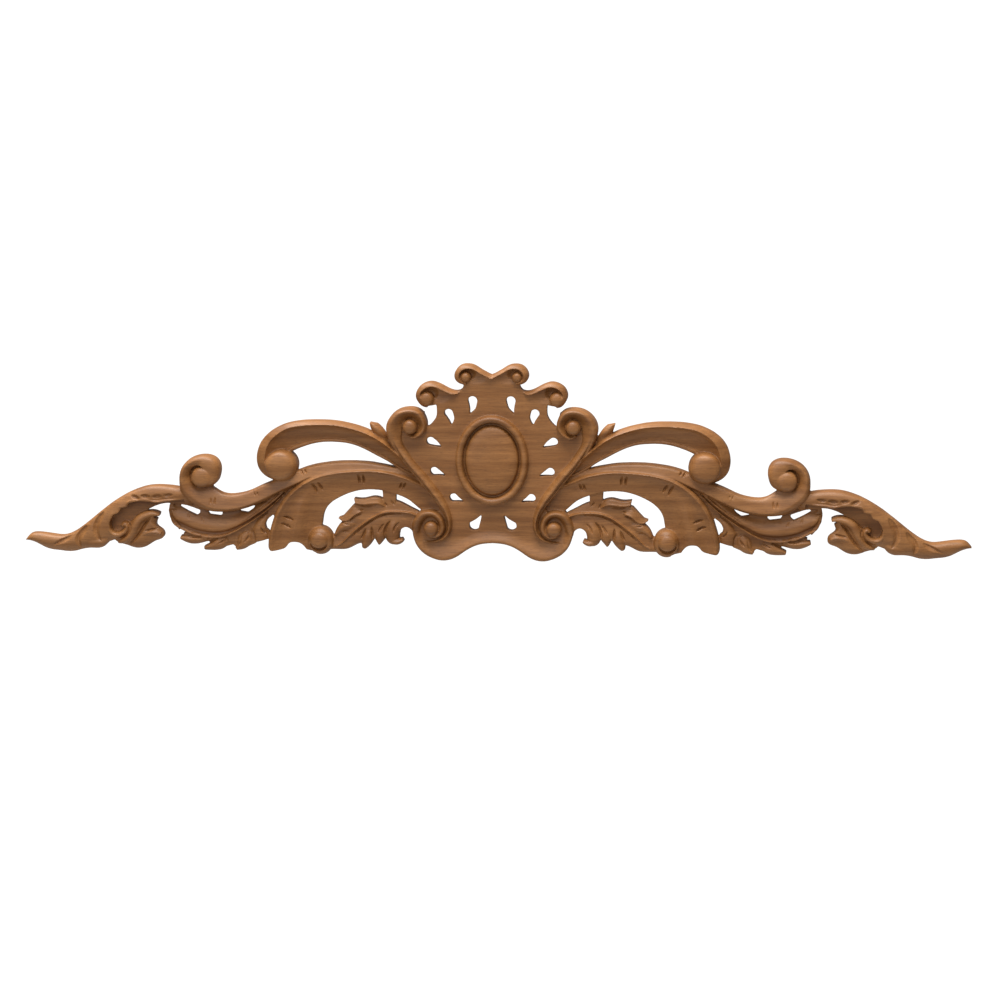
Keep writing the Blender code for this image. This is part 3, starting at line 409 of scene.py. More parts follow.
VEIN_CUTS = (
    (0.9, 1.8, ((86.1, -32.2), (84.5, -35.3), (82.4, -37.4))),
    (1, 2, ((91.3, -34.4), (89.2, -38.5))),
    (1, 2.2, ((114.6, -37.2), (106.5, -38), (98, -37.2))),
    (0.9, 1.6, ((112.3, -40.6), (109.2, -41.6))),
    (1, 2, ((120.6, -50), (114.4, -45.6), (110.6, -45))),
    (0.9, 1.6, ((126.5, -53), (120.2, -53.7))),
    (0.9, 1.6, ((127.6, -59.6), (121.3, -59.5))),
    (0.9, 2.6, ((68, -45.4), (80, -44), (90.2, -44.8), (100.5, -49), (110.9, -56.4), (119.6, -64),
                (126, -70.4))),
    (1.2, 2.2, ((78.3, -51), (82.9, -56.3), (84, -60.5))),
    (1.3, 3, ((85.8, -49.4), (89.2, -53.7), (91.1, -58.4), (91.2, -65.6))),
    (1.2, 2.4, ((91.6, -52.2), (95, -56.8), (97.3, -60.8))),
    (1.2, 2.8, ((102.6, -55), (102.2, -60), (101.8, -67))),
    (1.2, 2.4, ((107.4, -56.8), (109.2, -61.6), (111.8, -66.4))),
    (1, 2, ((258.7, -66), (251.1, -65.8), (246.2, -65.6))),
    (1.1, 2.2, ((234.1, -71.6), (229.3, -69), (225.4, -67.2))),
    (1.1, 2.2, ((211.9, -70.3), (209.1, -67.2), (207, -64))),
    (1.1, 2.4, ((197.1, -56), (195.4, -59.9), (191.9, -62.3))),
    (1, 1.6, ((246.2, -73.6), (240, -69.4), (234, -66.4))),
    (1, 1.6, ((219, -76.4), (215, -70.4), (214, -64))),
    (1, 1.8, ((202.4, -70.4), (203.4, -63), (207, -57.4))),
    (0.7, 1.2, ((259.7, -44.8), (258.2, -51))),
    (0.7, 1.2, ((249, -47.9), (246, -54))),
    (0.9, 1.6, ((216, -55), (204.4, -47), (194, -38.4), (183.6, -29.6), (174.6, -21.6))),
    (3.2, 2.6, ((331, -44), (334.4, -48), (337.4, -54.4), (337, -63.4), (333.4, -69.6))),
    (0.7, 2.8, ((332.4, -45.6), (335.6, -50.4), (337.6, -57.4), (337, -64.4))),
    (3.4, 3, ((346, -56), (350.4, -61), (353.6, -68), (351.6, -75))),
    (0.8, 3.6, ((347.4, -58.4), (351.8, -63.6), (354.8, -70.2))),
    (2.2, 2.4, ((359.6, -65), (367, -69), (376, -73.6))),
    (0.7, 2.6, ((363.2, -67), (369.6, -70.9), (375.9, -73.9))),
    (1.7, 4, ((290.6, -49), (295, -53.4), (300, -61.4), (304.6, -67.4), (310.8, -73.6))),
    (1, 2.4, ((284.6, -58.2), (291.1, -59.4), (297, -60.8))),
    (1.2, 2.4, ((319.6, -67), (313.4, -64.8), (309, -59.6), (308.8, -54))),
    (1.5, 4.4, ((155.6, -67.8), (152.6, -72.6), (147.4, -74.6), (142.6, -73.4), (139.6, -69.6))),
    (1.1, 2.6, ((250, -22.6), (254.6, -18.6), (256, -13.4), (254.2, -7.6), (250.4, -4.6), (246.4, -4.4))),
)


def linear(code):
    """A linear colour from an sRGB hex code."""
    parts = [int(code[i : i + 2], 16) / 255 for i in (1, 3, 5)]
    return tuple(p / 12.92 if p <= 0.04045 else ((p + 0.055) / 1.055) ** 2.4 for p in parts) + (1.0,)


def length(name, text, value):
    return bpy.props.FloatProperty(name=name, description=text, default=value, unit="LENGTH")


def colour(name, text, code):
    return bpy.props.FloatVectorProperty(
        name=name, description=text, size=4, default=linear(code), subtype="COLOR"
    )


def power(name, text, value):
    return bpy.props.FloatProperty(name=name, description=text, default=value, unit="POWER")


class CarvingSizes(bpy.types.PropertyGroup):
    ground: length("Ground", "Height of the flat ground over the back", 8.5 * MM)
    fineness: length("Fineness", "Size of the smallest facet of the carving", 0.42 * MM)
    tool_marks: length("Tool marks", "Depth of the unevenness that hand tools leave", 0.22 * MM)
    triangles: bpy.props.IntProperty(
        name="Triangles", description="Most triangles of one half of the carving", default=95000
    )


class WoodLook(bpy.types.PropertyGroup):
    light_wood: colour("Light wood", "Colour of the pale bands", "#9E6B3B")
    dark_wood: colour("Dark wood", "Colour of the dark bands", "#7F5024")
    fleck: colour("Fleck", "Colour of the ray flecks", "#54321A")


class StageLook(bpy.types.PropertyGroup):
    top_light: power("Top light", "Power of the soft light overhead", 66.0)
    front_light: power("Front light", "Power of the soft light beside the camera", 19.0)
    backdrop: bpy.props.FloatProperty(
        name="Backdrop", description="Brightness of the white room where the camera sees it", default=1.1
    )
    fill: bpy.props.FloatProperty(
        name="Fill", description="Brightness of the white room as it lights the wood", default=0.28
    )


def deselect():
    if bpy.context.mode != "OBJECT":
        bpy.ops.object.mode_set(mode="OBJECT")
    bpy.ops.object.select_all(action="DESELECT")


def read_points(piece):
    points = np.empty(len(piece.data.vertices) * 3)
    piece.data.vertices.foreach_get("co", points)
    return points.reshape(-1, 3)


def write_points(piece, points):
    piece.data.vertices.foreach_set("co", np.asarray(points, float).ravel())
    piece.data.update()


def keep_in(piece, name, group):
    """Names the piece and puts it in the collection of forms or of cutters."""
    piece.name = name
    piece.data.name = name
    for other in list(piece.users_collection):
        other.objects.unlink(piece)
    if group not in bpy.data.collections:
        bpy.context.scene.collection.children.link(bpy.data.collections.new(group))
    bpy.data.collections[group].objects.link(piece)
    return piece


def carry(piece, depth):
    """Extrudes the whole open sheet straight back, or forward where the depth is less than nothing."""
    bpy.ops.object.mode_set(mode="EDIT")
    bpy.ops.mesh.select_all(action="SELECT")
    bpy.ops.mesh.extrude_region_move(TRANSFORM_OT_translate={"value": (0, depth, 0)})
    bpy.ops.mesh.select_all(action="SELECT")
    bpy.ops.mesh.normals_make_consistent(inside=False)
    bpy.ops.object.mode_set(mode="OBJECT")


def spline(knots, values, places):
    """Natural cubic spline through the values at the knots, read at the places."""
    count = len(knots)
    step = np.diff(knots)
    slope = np.diff(values, axis=0) / step[:, None]
    system = np.eye(count)
    known = np.zeros_like(values)
    for i in range(1, count - 1):
        system[i, i - 1 : i + 2] = step[i - 1], 2 * (step[i - 1] + step[i]), step[i]
        known[i] = 6 * (slope[i] - slope[i - 1])
    bend = np.linalg.solve(system, known)
    left = np.clip(np.searchsorted(knots, places) - 1, 0, count - 2)
    gap = step[left][:, None]
    a = (knots[left + 1][:, None] - places[:, None]) / gap
    b = 1 - a
    curve = (a**3 - a) * bend[left] + (b**3 - b) * bend[left + 1]
    return a * values[left] + b * values[left + 1] + curve * gap**2 / 6


def smooth(rows, middle, count):
    """Rows of numbers read at count + 1 places on the smooth line, closest where its points are closest."""
    values = np.array(rows, float)
    knots = np.concatenate([[0], np.cumsum(np.hypot(*np.diff(middle, axis=0).T))])
    places = np.interp(np.linspace(0, len(knots) - 1, count + 1), np.arange(len(knots)), knots)
    return spline(knots, values, places)


def section_points(runs):
    """A cross-section's runs as one list of points, with an edge where two runs meet."""
    points = []
    for number, run in enumerate(runs):
        line = np.array(run, float)
        steps = SECTION_STEPS // len(runs) + (number < SECTION_STEPS % len(runs))
        scaled = line * (SECTION_WIDTH, 1)
        points += list(smooth(line, scaled, steps)[(1 if number else 0) :])
    return np.array(points)


def lay_form(name, stations, sections, fine=3):
    """A form between two edges. Sections is one cross-section, or pairs of a station and its own, blended
    between the stations and kept beyond them."""
    table = np.array(stations, float)
    along = (len(table) - 1) * fine
    rows = smooth(table, (table[:, 0:2] + table[:, 2:4]) / 2, along)
    if not isinstance(sections[0][0], (int, float)):
        sections = ((0, sections),)
    marks = [mark * fine for mark, _ in sections]
    shapes = np.array([section_points(runs) for _, runs in sections])
    where = np.clip(np.arange(along + 1), marks[0], marks[-1])
    left = np.clip(np.searchsorted(marks, where, side="right") - 1, 0, max(0, len(marks) - 2))
    if len(marks) > 1:
        gap = np.diff(marks)[left]
        blend = ((where - np.array(marks)[left]) / gap)[:, None, None]
        shapes = shapes[left] * (1 - blend) + shapes[left + 1] * blend
    else:
        shapes = np.repeat(shapes, along + 1, axis=0)
    deselect()
    bpy.ops.mesh.primitive_grid_add(x_subdivisions=along, y_subdivisions=SECTION_STEPS, size=2)
    piece = bpy.context.object
    flat = read_points(piece)
    i = np.rint((flat[:, 0] + 1) / 2 * along).astype(int)
    j = np.rint((flat[:, 1] + 1) / 2 * SECTION_STEPS).astype(int)
    share, drop = shapes[i, j].T
    row = rows[i]
    out = row[:, 0] + (row[:, 2] - row[:, 0]) * share
    up = row[:, 1] + (row[:, 3] - row[:, 1]) * share
    write_points(piece, np.stack([out, drop - row[:, 4], up], axis=1) * MM)
    carry(piece, CARRY)
    return keep_in(piece, name, FORMS)


def lay_lobe(name, line, section=LOBE_FACE, fine=5):
    """A form along a middle line with a half width and a crest height."""
    table = np.array(line, float)
    rows = smooth(table, table[:, 0:2], (len(table) - 1) * 2)
    way = np.gradient(rows[:, 0:2], axis=0)
    way /= np.hypot(*way.T)[:, None]
    side = np.stack([-way[:, 1], way[:, 0]], axis=1) * rows[:, 2:3]
    stations = np.hstack([rows[:, 0:2] + side, rows[:, 0:2] - side, rows[:, 3:4]])
    return lay_form(name, stations, section, fine)


def turn_form(name, out, up, radius_out, radius_up, height, profile, steps=64, lean=0.0):
    """A round or oval form, raised from a disc by extruding its face up the profile, ring by ring. Its top
    may lean outward by some millimetres."""
    deselect()
    bpy.ops.mesh.primitive_circle_add(
        vertices=steps, radius=1, fill_type="NGON", location=(0, CARRY, 0), rotation=(math.pi / 2, 0, 0)
    )
    piece = bpy.context.object
    bpy.ops.object.transform_apply(location=True, rotation=True, scale=True)
    bpy.ops.object.mode_set(mode="EDIT")
    bpy.ops.mesh.select_all(action="SELECT")
    level = CARRY
    wide = 1.0
    for share, drop in reversed(profile[1:]):
        rise = (drop - height) * MM - level
        bpy.ops.mesh.extrude_region_move(TRANSFORM_OT_translate={"value": (0, rise, 0)})
        bpy.ops.transform.resize(value=(share / wide, 1, share / wide))
        level += rise
        wide = share
    bpy.ops.mesh.poke()
    bpy.ops.mesh.select_all(action="SELECT")
    bpy.ops.mesh.normals_make_consistent(inside=False)
    bpy.ops.object.mode_set(mode="OBJECT")
    points = read_points(piece)
    top = np.argmin(np.hypot(points[:, 0], points[:, 2]) + points[:, 1])
    points[top, 1] = (profile[0][1] - height) * MM
    inner = np.clip((1 - np.hypot(points[:, 0], points[:, 2])) / LEAN_EDGE, 0, 1)
    points = points * (radius_out * MM, 1, radius_up * MM) + (out * MM, 0, up * MM)
    points[:, 0] += lean * inner * MM
    write_points(piece, points)
    return keep_in(piece, name, FORMS)


def slab(name, outline, front, back, group):
    """A flat piece with this outline, from its front height to its back."""
    deselect()
    bpy.ops.mesh.primitive_circle_add(vertices=len(outline), fill_type="NGON")
    piece = bpy.context.object
    write_points(piece, [(out * MM, -front * MM, up * MM) for out, up in outline])
    carry(piece, (front - back) * MM)
    return keep_in(piece, name, group)


def dip(name, out, up, reach_out, reach_up, depth, level, turn=0):
    """The cutter of a dish: a stretched ball that reaches this depth under the level."""
    deselect()
    bpy.ops.mesh.primitive_uv_sphere_add(segments=32, ring_count=16, radius=1)
    piece = bpy.context.object
    high = 3 * depth
    wide = math.sqrt(1 - (1 - depth / high) ** 2)
    points = read_points(piece) * (reach_out / wide, high, reach_up / wide)
    angle = math.radians(turn)
    across = points[:, 0] * math.cos(angle) - points[:, 2] * math.sin(angle) + out
    along = points[:, 0] * math.sin(angle) + points[:, 2] * math.cos(angle) + up
    write_points(piece, np.stack([across, points[:, 1] - (level - depth + high), along], axis=1) * MM)
    return keep_in(piece, name, CUTTERS)


def outline_points(runs):
    """Smooth runs that meet at corners, as one closed outline."""
    points = []
    for run in runs:
        line = np.array(run, float)
        points += [tuple(row) for row in smooth(line, line, OUTLINE_STEPS * len(run))]
    points = [p for i, p in enumerate(points) if i == 0 or math.dist(p, points[i - 1]) > JOINED]
    return points[:-1] if math.dist(points[0], points[-1]) < JOINED else points


def teardrop_outline(out, up, radius, middle_out, middle_up, middle_half, tip_out, tip_up):
    """A round head whose sides draw in to a curved tail."""
    tip = (tip_out, tip_up, TEARDROP_TIP)
    line = np.array([(out, up, radius), (middle_out, middle_up, middle_half), tip])
    rows = smooth(line, line[:, :2], TEARDROP_STEPS)
    share = np.linspace(0, 1, TEARDROP_STEPS + 1)
    rows[:, 2] = np.interp(share, (0, 0.5, 1), (radius, middle_half, TEARDROP_TIP))
    way = np.gradient(rows[:, :2], axis=0)
    way /= np.hypot(*way.T)[:, None]
    side = np.stack([-way[:, 1], way[:, 0]], axis=1) * rows[:, 2:3]
    start = math.atan2(-way[0, 1], -way[0, 0])
    head = [
        (out + radius * math.cos(start + turn), up + radius * math.sin(start + turn))
        for turn in np.radians(np.linspace(-HEAD_TURN, HEAD_TURN, TEARDROP_STEPS + 1))
    ]
    left = [tuple(p) for p in rows[:, :2] + side]
    right = [tuple(p) for p in rows[:, :2] - side]
    return head + right + left[::-1]


def surface_height(tree, out, up):
    """Height of the carved surface over the back at this place, in millimetres."""
    hit = tree.ray_cast(Vector((out * MM, RAY_START, up * MM)), Vector((0, 1, 0)))[0]
    return 0.0 if hit is None else -hit.y / MM


def cut_along(name, tree, half, deep, points):
    """The cutter of one gouge cut, which follows the surface and runs out at both ends."""
    line = np.array(points, float)
    steps = max(6, round(np.hypot(*np.diff(line, axis=0).T).sum() / CUT_STEP))
    rows = smooth(line, line, steps)
    way = np.gradient(rows, axis=0)
    way /= np.hypot(*way.T)[:, None]
    side = np.stack([-way[:, 1], way[:, 0]], axis=1)
    swell = np.sin(np.pi * np.clip(np.linspace(0, 1, steps + 1), CUT_END, 1 - CUT_END)) ** CUT_FULLNESS
    deselect()
    bpy.ops.mesh.primitive_grid_add(x_subdivisions=steps, y_subdivisions=2, size=2)
    piece = bpy.context.object
    flat = read_points(piece)
    i = np.rint((flat[:, 0] + 1) / 2 * steps).astype(int)
    j = np.rint(flat[:, 1]).astype(int)
    wide = half * swell[i] * (1 + CUT_LIFT / deep)
    out, up = (rows[i] + side[i] * (j * wide)[:, None]).T
    middle = np.array([surface_height(tree, *p) for p in rows])[i]
    height = np.where(j == 0, middle - deep * swell[i], middle + CUT_LIFT)
    write_points(piece, np.stack([out, -height, up], axis=1) * MM)
    carry(piece, -CARRY)
    return keep_in(piece, name, CUTTERS)


def apply_modifier(piece, kind, **settings):
    """Adds a modifier with these settings and applies it."""
    deselect()
    piece.select_set(True)
    bpy.context.view_layer.objects.active = piece
    bpy.ops.object.modifier_add(type=kind)
    step = piece.modifiers[-1]
    for name, value in settings.items():
        setattr(step, name, value)
    bpy.ops.object.modifier_apply(modifier=step.name)


def drop_group(group):
    for piece in list(bpy.data.collections[group].objects):
        bpy.data.objects.remove(piece)


def combine(piece, operation, group):
    """Unites the piece with a group of helpers, or cuts them out of it, and removes them."""
    apply_modifier(
        piece, "BOOLEAN", operation=operation, solver="MANIFOLD", operand_type="COLLECTION",
        collection=bpy.data.collections[group],
    )
    drop_group(group)


class HEADPIECE_OT_cartouche(bpy.types.Operator):
    """Lays the flat ground, the oval boss in its ring, and the two small rims on top"""

    bl_idname = "headpiece.cartouche"
    bl_label = "Cartouche"

    def execute(self, context):
        ground = context.scene.carving_sizes.ground / MM
        piece = slab(PIECE, outline_points(GROUND_OUTLINE), ground, -CARRY / MM, PIECE)
        for number, (*place, depth) in enumerate(RECESSES):
            dip(f"recess {number}", *place, depth, ground)
        combine(piece, "DIFFERENCE", CUTTERS)
        turn_form("boss", *BOSS, BOSS_TURN, 120)
        middle, outer_out, outer_up, inner_out, inner_up, height = BEAD
        stations = []
        for angle in np.radians(np.linspace(-BEAD_REACH, BEAD_REACH, BEAD_STATIONS)):
            out, up = math.cos(angle), math.sin(angle)
            outer = outer_out * out, middle + outer_up * up
            stations.append((*outer, inner_out * out, middle + inner_up * up, height))
        lay_form("bead", stations, BEAD_FACE)
        lay_form("skirt", SKIRT, SKIRT_FACE, 4)
        lay_form("top rim", TOP_RIM, RIM_BEVEL, 5)
        lay_form("side rim", SIDE_RIM, RIM_BEVEL, 5)
        for number, (height, outline) in enumerate(WEBS):
            slab(f"web {number}", outline, height, -CARRY / MM, FORMS)
        return {"FINISHED"}


class HEADPIECE_OT_scrolls(bpy.types.Operator):
    """Lays the long rail with its scroll, the low scroll, and the eyes that they wind round"""

    bl_idname = "headpiece.scrolls"
    bl_label = "Scrolls"

    def execute(self, context):
        lay_form("rail", RAIL, ((10, SCROLL_ROLL), (13, SHAFT_ROLL)), 4)
        lay_form("low scroll", LOW_VOLUTE, LOW_ROLL, 5)
        for eye in EYES:
            turn_form(*eye, EYE_TURN)
        return {"FINISHED"}


class HEADPIECE_OT_arms(bpy.types.Operator):
    """Lays the arm with its ball and bud, and the strap that ends in a small scroll"""

    bl_idname = "headpiece.arms"
    bl_label = "Arms and straps"

    def execute(self, context):
        lay_form("arm", ARM, ((9, ARM_FACE), (13, ARM_TURN)), 4)
        turn_form("arm ball", *ARM_BALL, BALL_TURN, 96, BALL_LEAN)
        lay_form("bud", BUD, LOBE_FACE)
        faces = ((13, STRAP_FACE), (16, STRAP_TURN), (19, STRAP_TURN), (22, STRAP_END))
        lay_form("strap", STRAP, faces, 4)
        turn_form("strap eye", *STRAP_EYE, EYE_TURN)
        return {"FINISHED"}


class HEADPIECE_OT_crescents(bpy.types.Operator):
    """Lays the broad crescent that flares down to its foot, with the disc and eye inside it"""

    bl_idname = "headpiece.crescents"
    bl_label = "Crescents"

    def execute(self, context):
        lay_form("crescent", CRESCENT, ((9, CRESCENT_FACE), (13, CRESCENT_FOOT)), 5)
        turn_form("foot disc", *FOOT_DISC, DISC_TURN, 80)
        turn_form("foot eye", *FOOT_EYE, EYE_TURN)
        return {"FINISHED"}


class HEADPIECE_OT_leaves(bpy.types.Operator):
    """Lays the small leaf, the long leaf under the strap, and the tail with its flower"""

    bl_idname = "headpiece.leaves"
    bl_label = "Leaves and tail"

    def execute(self, context):
        lay_form("leaf", LEAF, LEAF_FACE, 6)
        lay_form("blade", BLADE, BLADE_FACE, 6)
        lay_form("tail", TAIL, TAIL_FACE, 5)
        lay_form("petal", PETAL, LOBE_FACE, 5)
        lay_form("curled lobe", CURL_LOBE, CURL_FACE, 5)
        lay_form("side lobe", SIDE_LOBE, CURL_FACE, 5)
        for number, line in enumerate(SMALL_LOBES + LOW_LOBES + TAIL_LOBES[1:]):
            lay_lobe(f"lobe {number}", line)
        for number, line in enumerate(RIBS):
            lay_lobe(f"rib {number}", line, RIB_FACE)
        return {"FINISHED"}


class HEADPIECE_OT_carve(bpy.types.Operator):
    """Unites the forms, then takes out the openings, the hollow of the tail and every gouge cut"""

    bl_idname = "headpiece.carve"
    bl_label = "Carve"

    def execute(self, context):
        piece = bpy.data.objects[PIECE]
        combine(piece, "UNION", FORMS)
        slab("hollow", HOLLOW, THROUGH, HOLLOW_FLOOR, CUTTERS)
        combine(piece, "DIFFERENCE", CUTTERS)
        lay_lobe("lip", LIP, RIB_FACE, 2)
        lay_lobe("flower roll", TAIL_LOBES[0])
        combine(piece, "UNION", FORMS)
        tree = BVHTree.FromObject(piece, context.evaluated_depsgraph_get())
        for number, hole in enumerate(TEARDROPS):
            slab(f"teardrop {number}", teardrop_outline(*hole), THROUGH, -THROUGH, CUTTERS)
        for number, corners in enumerate(SLITS):
            slab(f"slit {number}", corners, THROUGH, -THROUGH, CUTTERS)
        slab("foot cut", outline_points(FOOT_CUT), THROUGH, -THROUGH, CUTTERS)
        slab("hook cut", outline_points(HOOK_CUT), THROUGH, -THROUGH, CUTTERS)
        for number, (out, up, reach_out, reach_up, depth, turn) in enumerate(DIPS):
            dip(f"dip {number}", out, up, reach_out, reach_up, depth, surface_height(tree, out, up), turn)
        for number, (half, deep, points) in enumerate(TICK_CUTS + VEIN_CUTS):
            cut_along(f"gouge cut {number}", tree, half, deep, points)
        combine(piece, "DIFFERENCE", CUTTERS)
        return {"FINISHED"}


class HEADPIECE_OT_finish(bpy.types.Operator):
    """Softens the edges as sanding does, saws the back flat, mirrors the half and gives it its wood"""

    bl_idname = "headpiece.finish"
    bl_label = "Finish"

    def execute(self, context):
        sizes = context.scene.carving_sizes
        piece = bpy.data.objects[PIECE]
        points = read_points(piece)
        points[:, 1] = np.minimum(points[:, 1], SPARE)
        write_points(piece, points)
        apply_modifier(piece, "REMESH", mode="VOXEL", voxel_size=sizes.fineness)
        apply_modifier(piece, "SMOOTH", factor=0.5, iterations=SANDING)
        slab("behind", BEHIND, 0, -THROUGH, CUTTERS)
        combine(piece, "DIFFERENCE", CUTTERS)
        apply_modifier(piece, "TRIANGULATE")
        uneven = bpy.data.textures.new("tool marks", "CLOUDS")
        uneven.noise_scale = MARK_SIZE
        apply_modifier(
            piece, "DISPLACE", texture=uneven, texture_coords="LOCAL", strength=sizes.tool_marks,
            mid_level=0.5,
        )
        ratio = min(1, sizes.triangles / len(piece.data.polygons))
        apply_modifier(piece, "DECIMATE", decimate_type="COLLAPSE", ratio=ratio)
        apply_modifier(
            piece, "MIRROR", use_axis=(True, False, False), use_bisect_axis=(True, False, False),
            use_clip=True, merge_threshold=JOINT_GAP,
        )
        write_points(piece, np.clip(read_points(piece), *CAD_BOX))
        bpy.ops.object.shade_smooth_by_angle(angle=CRISP_ANGLE)
        piece.data.materials.clear()
        piece.data.materials.append(beech(context.scene.wood_look))
        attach(piece, BODY)
        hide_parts(NODE)
        return {"FINISHED"}


def add_node(tree, kind, settings=None, **inputs):
    """Adds a node with its own settings. Inputs are values or sockets, by the input's name with _ for a
    space, or by _ and its number."""
    node = tree.nodes.new(kind)
    for name, value in (settings or {}).items():
        setattr(node, name, value)
    for name, value in inputs.items():
        socket = node.inputs[int(name[1:])] if name[1:].isdigit() else node.inputs[name.replace("_", " ")]
        if isinstance(value, bpy.types.NodeSocket):
            tree.links.new(value, socket)
        else:
            socket.default_value = value
    return node


# Cells of the beech's pattern, in millimetres along the board, through it and up it.
BAND_SIZE = (150, 30, 7)
FIBRE_SIZE = (14, 2, 0.9)
FLECK_SIZE = (3.4, 1.2, 0.5)
PATCH_SIZE = (60, 30, 28)
GRAIN_DEPTH = 0.15 * MM
WOOD_ROUGHNESS = 0.5
WOOD_SHINE = 0.5


def beech(look):
    """Steamed beech, cut with gouges and left bare: a warm tan ground with long soft bands, short dark flecks
    of the rays along the grain, and a dry surface that shines only a little."""
    wood = bpy.data.materials.new("bare beech")
    wood.use_nodes = True
    tree = wood.node_tree
    shader = tree.nodes["Principled BSDF"]
    place = add_node(tree, "ShaderNodeTexCoord").outputs["Object"]

    def stretched(size, **noise):
        """Noise whose cells are this many millimetres along X, Y and Z."""
        mapping = add_node(tree, "ShaderNodeMapping", Vector=place, Scale=tuple(1 / (s * MM) for s in size))
        vector = mapping.outputs["Vector"]
        return add_node(tree, "ShaderNodeTexNoise", Vector=vector, Scale=1.0, **noise).outputs["Fac"]

    def spread(value, low, high, to_low=0.0, to_high=1.0):
        """The value carried from one range to another."""
        ends = {"From_Min": low, "From_Max": high, "To_Min": to_low, "To_Max": to_high}
        return add_node(tree, "ShaderNodeMapRange", Value=value, **ends).outputs["Result"]

    bands = stretched(BAND_SIZE, Detail=4.0, Roughness=0.6, Distortion=0.4)
    fibre = stretched(FIBRE_SIZE, Detail=3.0, Roughness=0.6)
    fleck = stretched(FLECK_SIZE, Detail=1.0, Roughness=0.4)
    patch = stretched(PATCH_SIZE, Detail=2.0)
    band_range = spread(bands, 0.35, 0.65)
    ground = add_node(
        tree, "ShaderNodeMix", {"data_type": "RGBA"}, _0=band_range, _6=look.light_wood, _7=look.dark_wood
    ).outputs[2]
    fibre_range = spread(fibre, 0.3, 0.7, 0.82, 1.12)
    patch_range = spread(patch, 0.3, 0.7, 0.93, 1.06)
    tone = add_node(
        tree, "ShaderNodeMath", {"operation": "MULTIPLY"}, _0=fibre_range, _1=patch_range
    ).outputs[0]
    toned = add_node(tree, "ShaderNodeVectorMath", {"operation": "SCALE"}, _0=ground, Scale=tone).outputs[0]
    fleck_range = spread(fleck, 0.58, 0.76, 0.0, 0.4)
    colour = add_node(
        tree, "ShaderNodeMix", {"data_type": "RGBA"}, _0=fleck_range, _6=toned, _7=look.fleck
    ).outputs[2]
    tree.links.new(colour, shader.inputs["Base Color"])
    shader.inputs["Roughness"].default_value = WOOD_ROUGHNESS
    shader.inputs["Specular IOR Level"].default_value = WOOD_SHINE
    height = add_node(tree, "ShaderNodeMath", {"operation": "SUBTRACT"}, _0=fibre, _1=fleck_range).outputs[0]
    bump = add_node(tree, "ShaderNodeBump", Strength=0.35, Distance=GRAIN_DEPTH, Height=height)
    tree.links.new(bump.outputs["Normal"], shader.inputs["Normal"])
    return wood


# The camera, as worked out from the photograph: it stands a little right of the middle and above it, far off.
CAMERA_RIGHT = math.radians(5.27)
CAMERA_ABOVE = math.radians(10.0)
CAMERA_ROLL = math.radians(-0.509)
CAMERA_FAR = 3.018
PIXEL = 0.8405 * MM
MIDDLE_PIXEL = (493.06, 461.0)
PICTURE = 1000
SENSOR = 36
FLOOR_RADIUS = 2.6
FLOOR_HEIGHT = -1.6
FLOOR_ROUGHNESS = 0.8


def add_light(name, place, size, power, tint):
    """A soft lamp that faces the middle of the carving."""
    deselect()
    bpy.ops.object.light_add(type="AREA", location=place)
    lamp = bpy.context.object
    lamp.name = name
    lamp.rotation_euler = (-Vector(place)).to_track_quat("-Z", "Y").to_euler()
    lamp.data.shape = "RECTANGLE"
    lamp.data.size, lamp.data.size_y = size
    lamp.data.energy = power
    lamp.data.color = tint


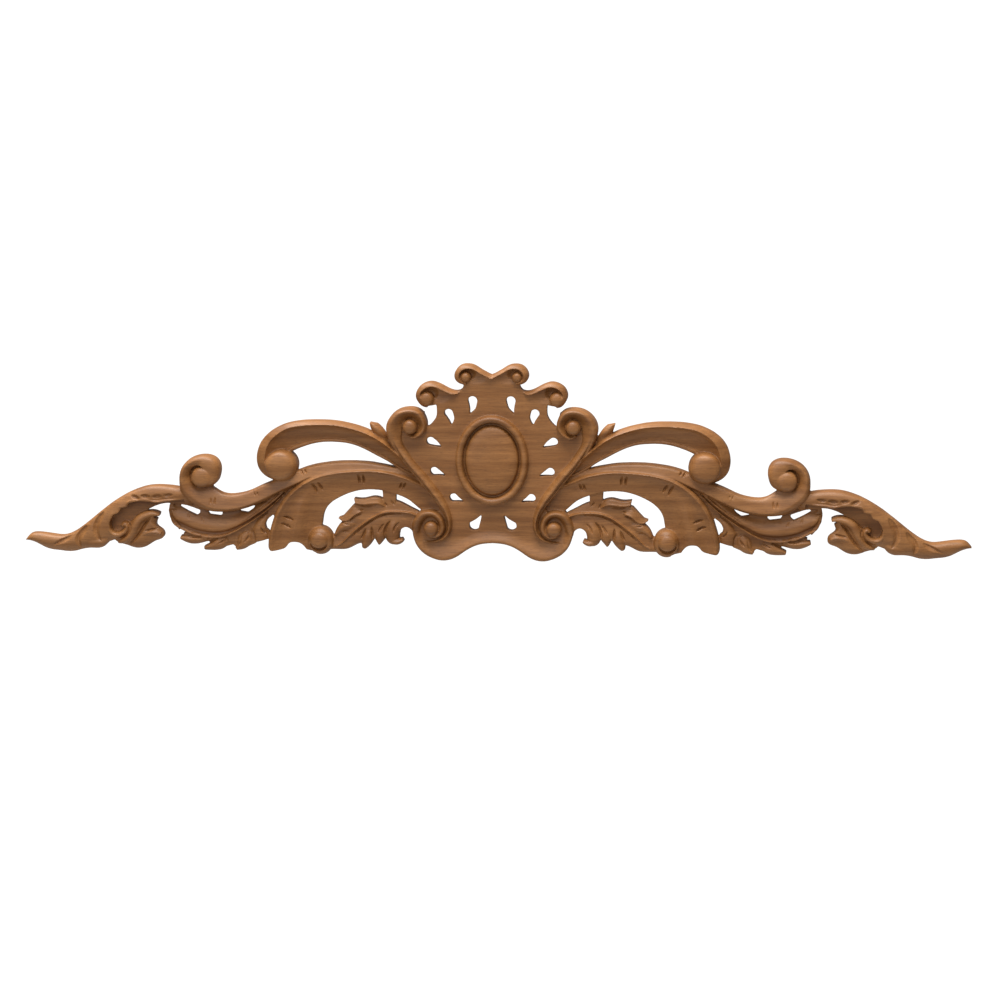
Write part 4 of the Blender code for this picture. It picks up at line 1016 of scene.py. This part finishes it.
class HEADPIECE_OT_stage(bpy.types.Operator):
    """Sets up the floor, the soft lights and the camera"""

    bl_idname = "headpiece.stage"
    bl_label = "Stage"

    def execute(self, context):
        look = context.scene.stage_look
        deselect()
        bpy.ops.mesh.primitive_circle_add(
            vertices=64, radius=FLOOR_RADIUS, fill_type="NGON", location=(0, 0, FLOOR_HEIGHT)
        )
        floor = bpy.context.object
        floor.name = "floor"
        paint = bpy.data.materials.new("white floor paint")
        paint.use_nodes = True
        shader = paint.node_tree.nodes["Principled BSDF"]
        shader.inputs["Base Color"].default_value = linear("#F4F2EE")
        shader.inputs["Roughness"].default_value = FLOOR_ROUGHNESS
        floor.data.materials.append(paint)
        world = bpy.data.worlds.new("white room")
        context.scene.world = world
        world.use_nodes = True
        seen = add_node(world.node_tree, "ShaderNodeLightPath").outputs["Is Camera Ray"]
        strength = add_node(
            world.node_tree, "ShaderNodeMapRange", Value=seen, To_Min=look.fill, To_Max=look.backdrop
        )
        backdrop = world.node_tree.nodes["Background"]
        backdrop.inputs["Color"].default_value = (1, 1, 1, 1)
        world.node_tree.links.new(strength.outputs["Result"], backdrop.inputs["Strength"])
        add_light("top light", (-0.3, -0.25, 1.6), (2.4, 0.8), look.top_light, (1, 0.98, 0.95))
        add_light("front light", (-0.9, -2.4, 1.0), (1.6, 1.6), look.front_light, (1, 1, 1))
        context.scene.view_settings.view_transform = "Standard"

        deselect()
        bpy.ops.object.camera_add()
        camera = bpy.context.object
        turn = Matrix.Rotation(CAMERA_RIGHT, 4, "Z") @ Matrix.Rotation(math.pi / 2 - CAMERA_ABOVE, 4, "X")
        turn = turn @ Matrix.Rotation(CAMERA_ROLL, 4, "Z")
        camera.matrix_world = turn @ Matrix.Translation((0, 0, CAMERA_FAR))
        camera.data.sensor_width = SENSOR
        camera.data.lens = SENSOR * CAMERA_FAR / (PIXEL * PICTURE)
        camera.data.shift_x = (PICTURE / 2 - MIDDLE_PIXEL[0]) / PICTURE
        camera.data.shift_y = (MIDDLE_PIXEL[1] - PICTURE / 2) / PICTURE
        camera.data.clip_end = 50
        context.scene.camera = camera
        return {"FINISHED"}


GROUPS = {"carving_sizes": CarvingSizes, "wood_look": WoodLook, "stage_look": StageLook}
STEPS = ("cartouche", "scrolls", "arms", "crescents", "leaves", "carve", "finish", "stage")


class HEADPIECE_PT_panel(bpy.types.Panel):
    bl_idname = "HEADPIECE_PT_panel"
    bl_label = "Headpiece"
    bl_space_type = "VIEW_3D"
    bl_region_type = "UI"
    bl_category = "Headpiece"

    def draw(self, context):
        for group in GROUPS:
            settings = getattr(context.scene, group)
            for name in settings.bl_rna.properties.keys():
                if name not in ("name", "rna_type"):
                    self.layout.prop(settings, name)
        for step in STEPS:
            self.layout.operator("headpiece." + step)


CLASSES = (
    *GROUPS.values(), HEADPIECE_OT_cartouche, HEADPIECE_OT_scrolls, HEADPIECE_OT_arms,
    HEADPIECE_OT_crescents, HEADPIECE_OT_leaves, HEADPIECE_OT_carve, HEADPIECE_OT_finish,
    HEADPIECE_OT_stage, HEADPIECE_PT_panel,
)


def register():
    for kind in CLASSES:
        bpy.utils.register_class(kind)
    for name, group in GROUPS.items():
        setattr(bpy.types.Scene, name, bpy.props.PointerProperty(type=group))


def unregister():
    for name in GROUPS:
        delattr(bpy.types.Scene, name)
    for kind in reversed(CLASSES):
        bpy.utils.unregister_class(kind)


def main():
    register()
    for step in STEPS:
        getattr(bpy.ops.headpiece, step)()


if __name__ == "__main__":
    main()
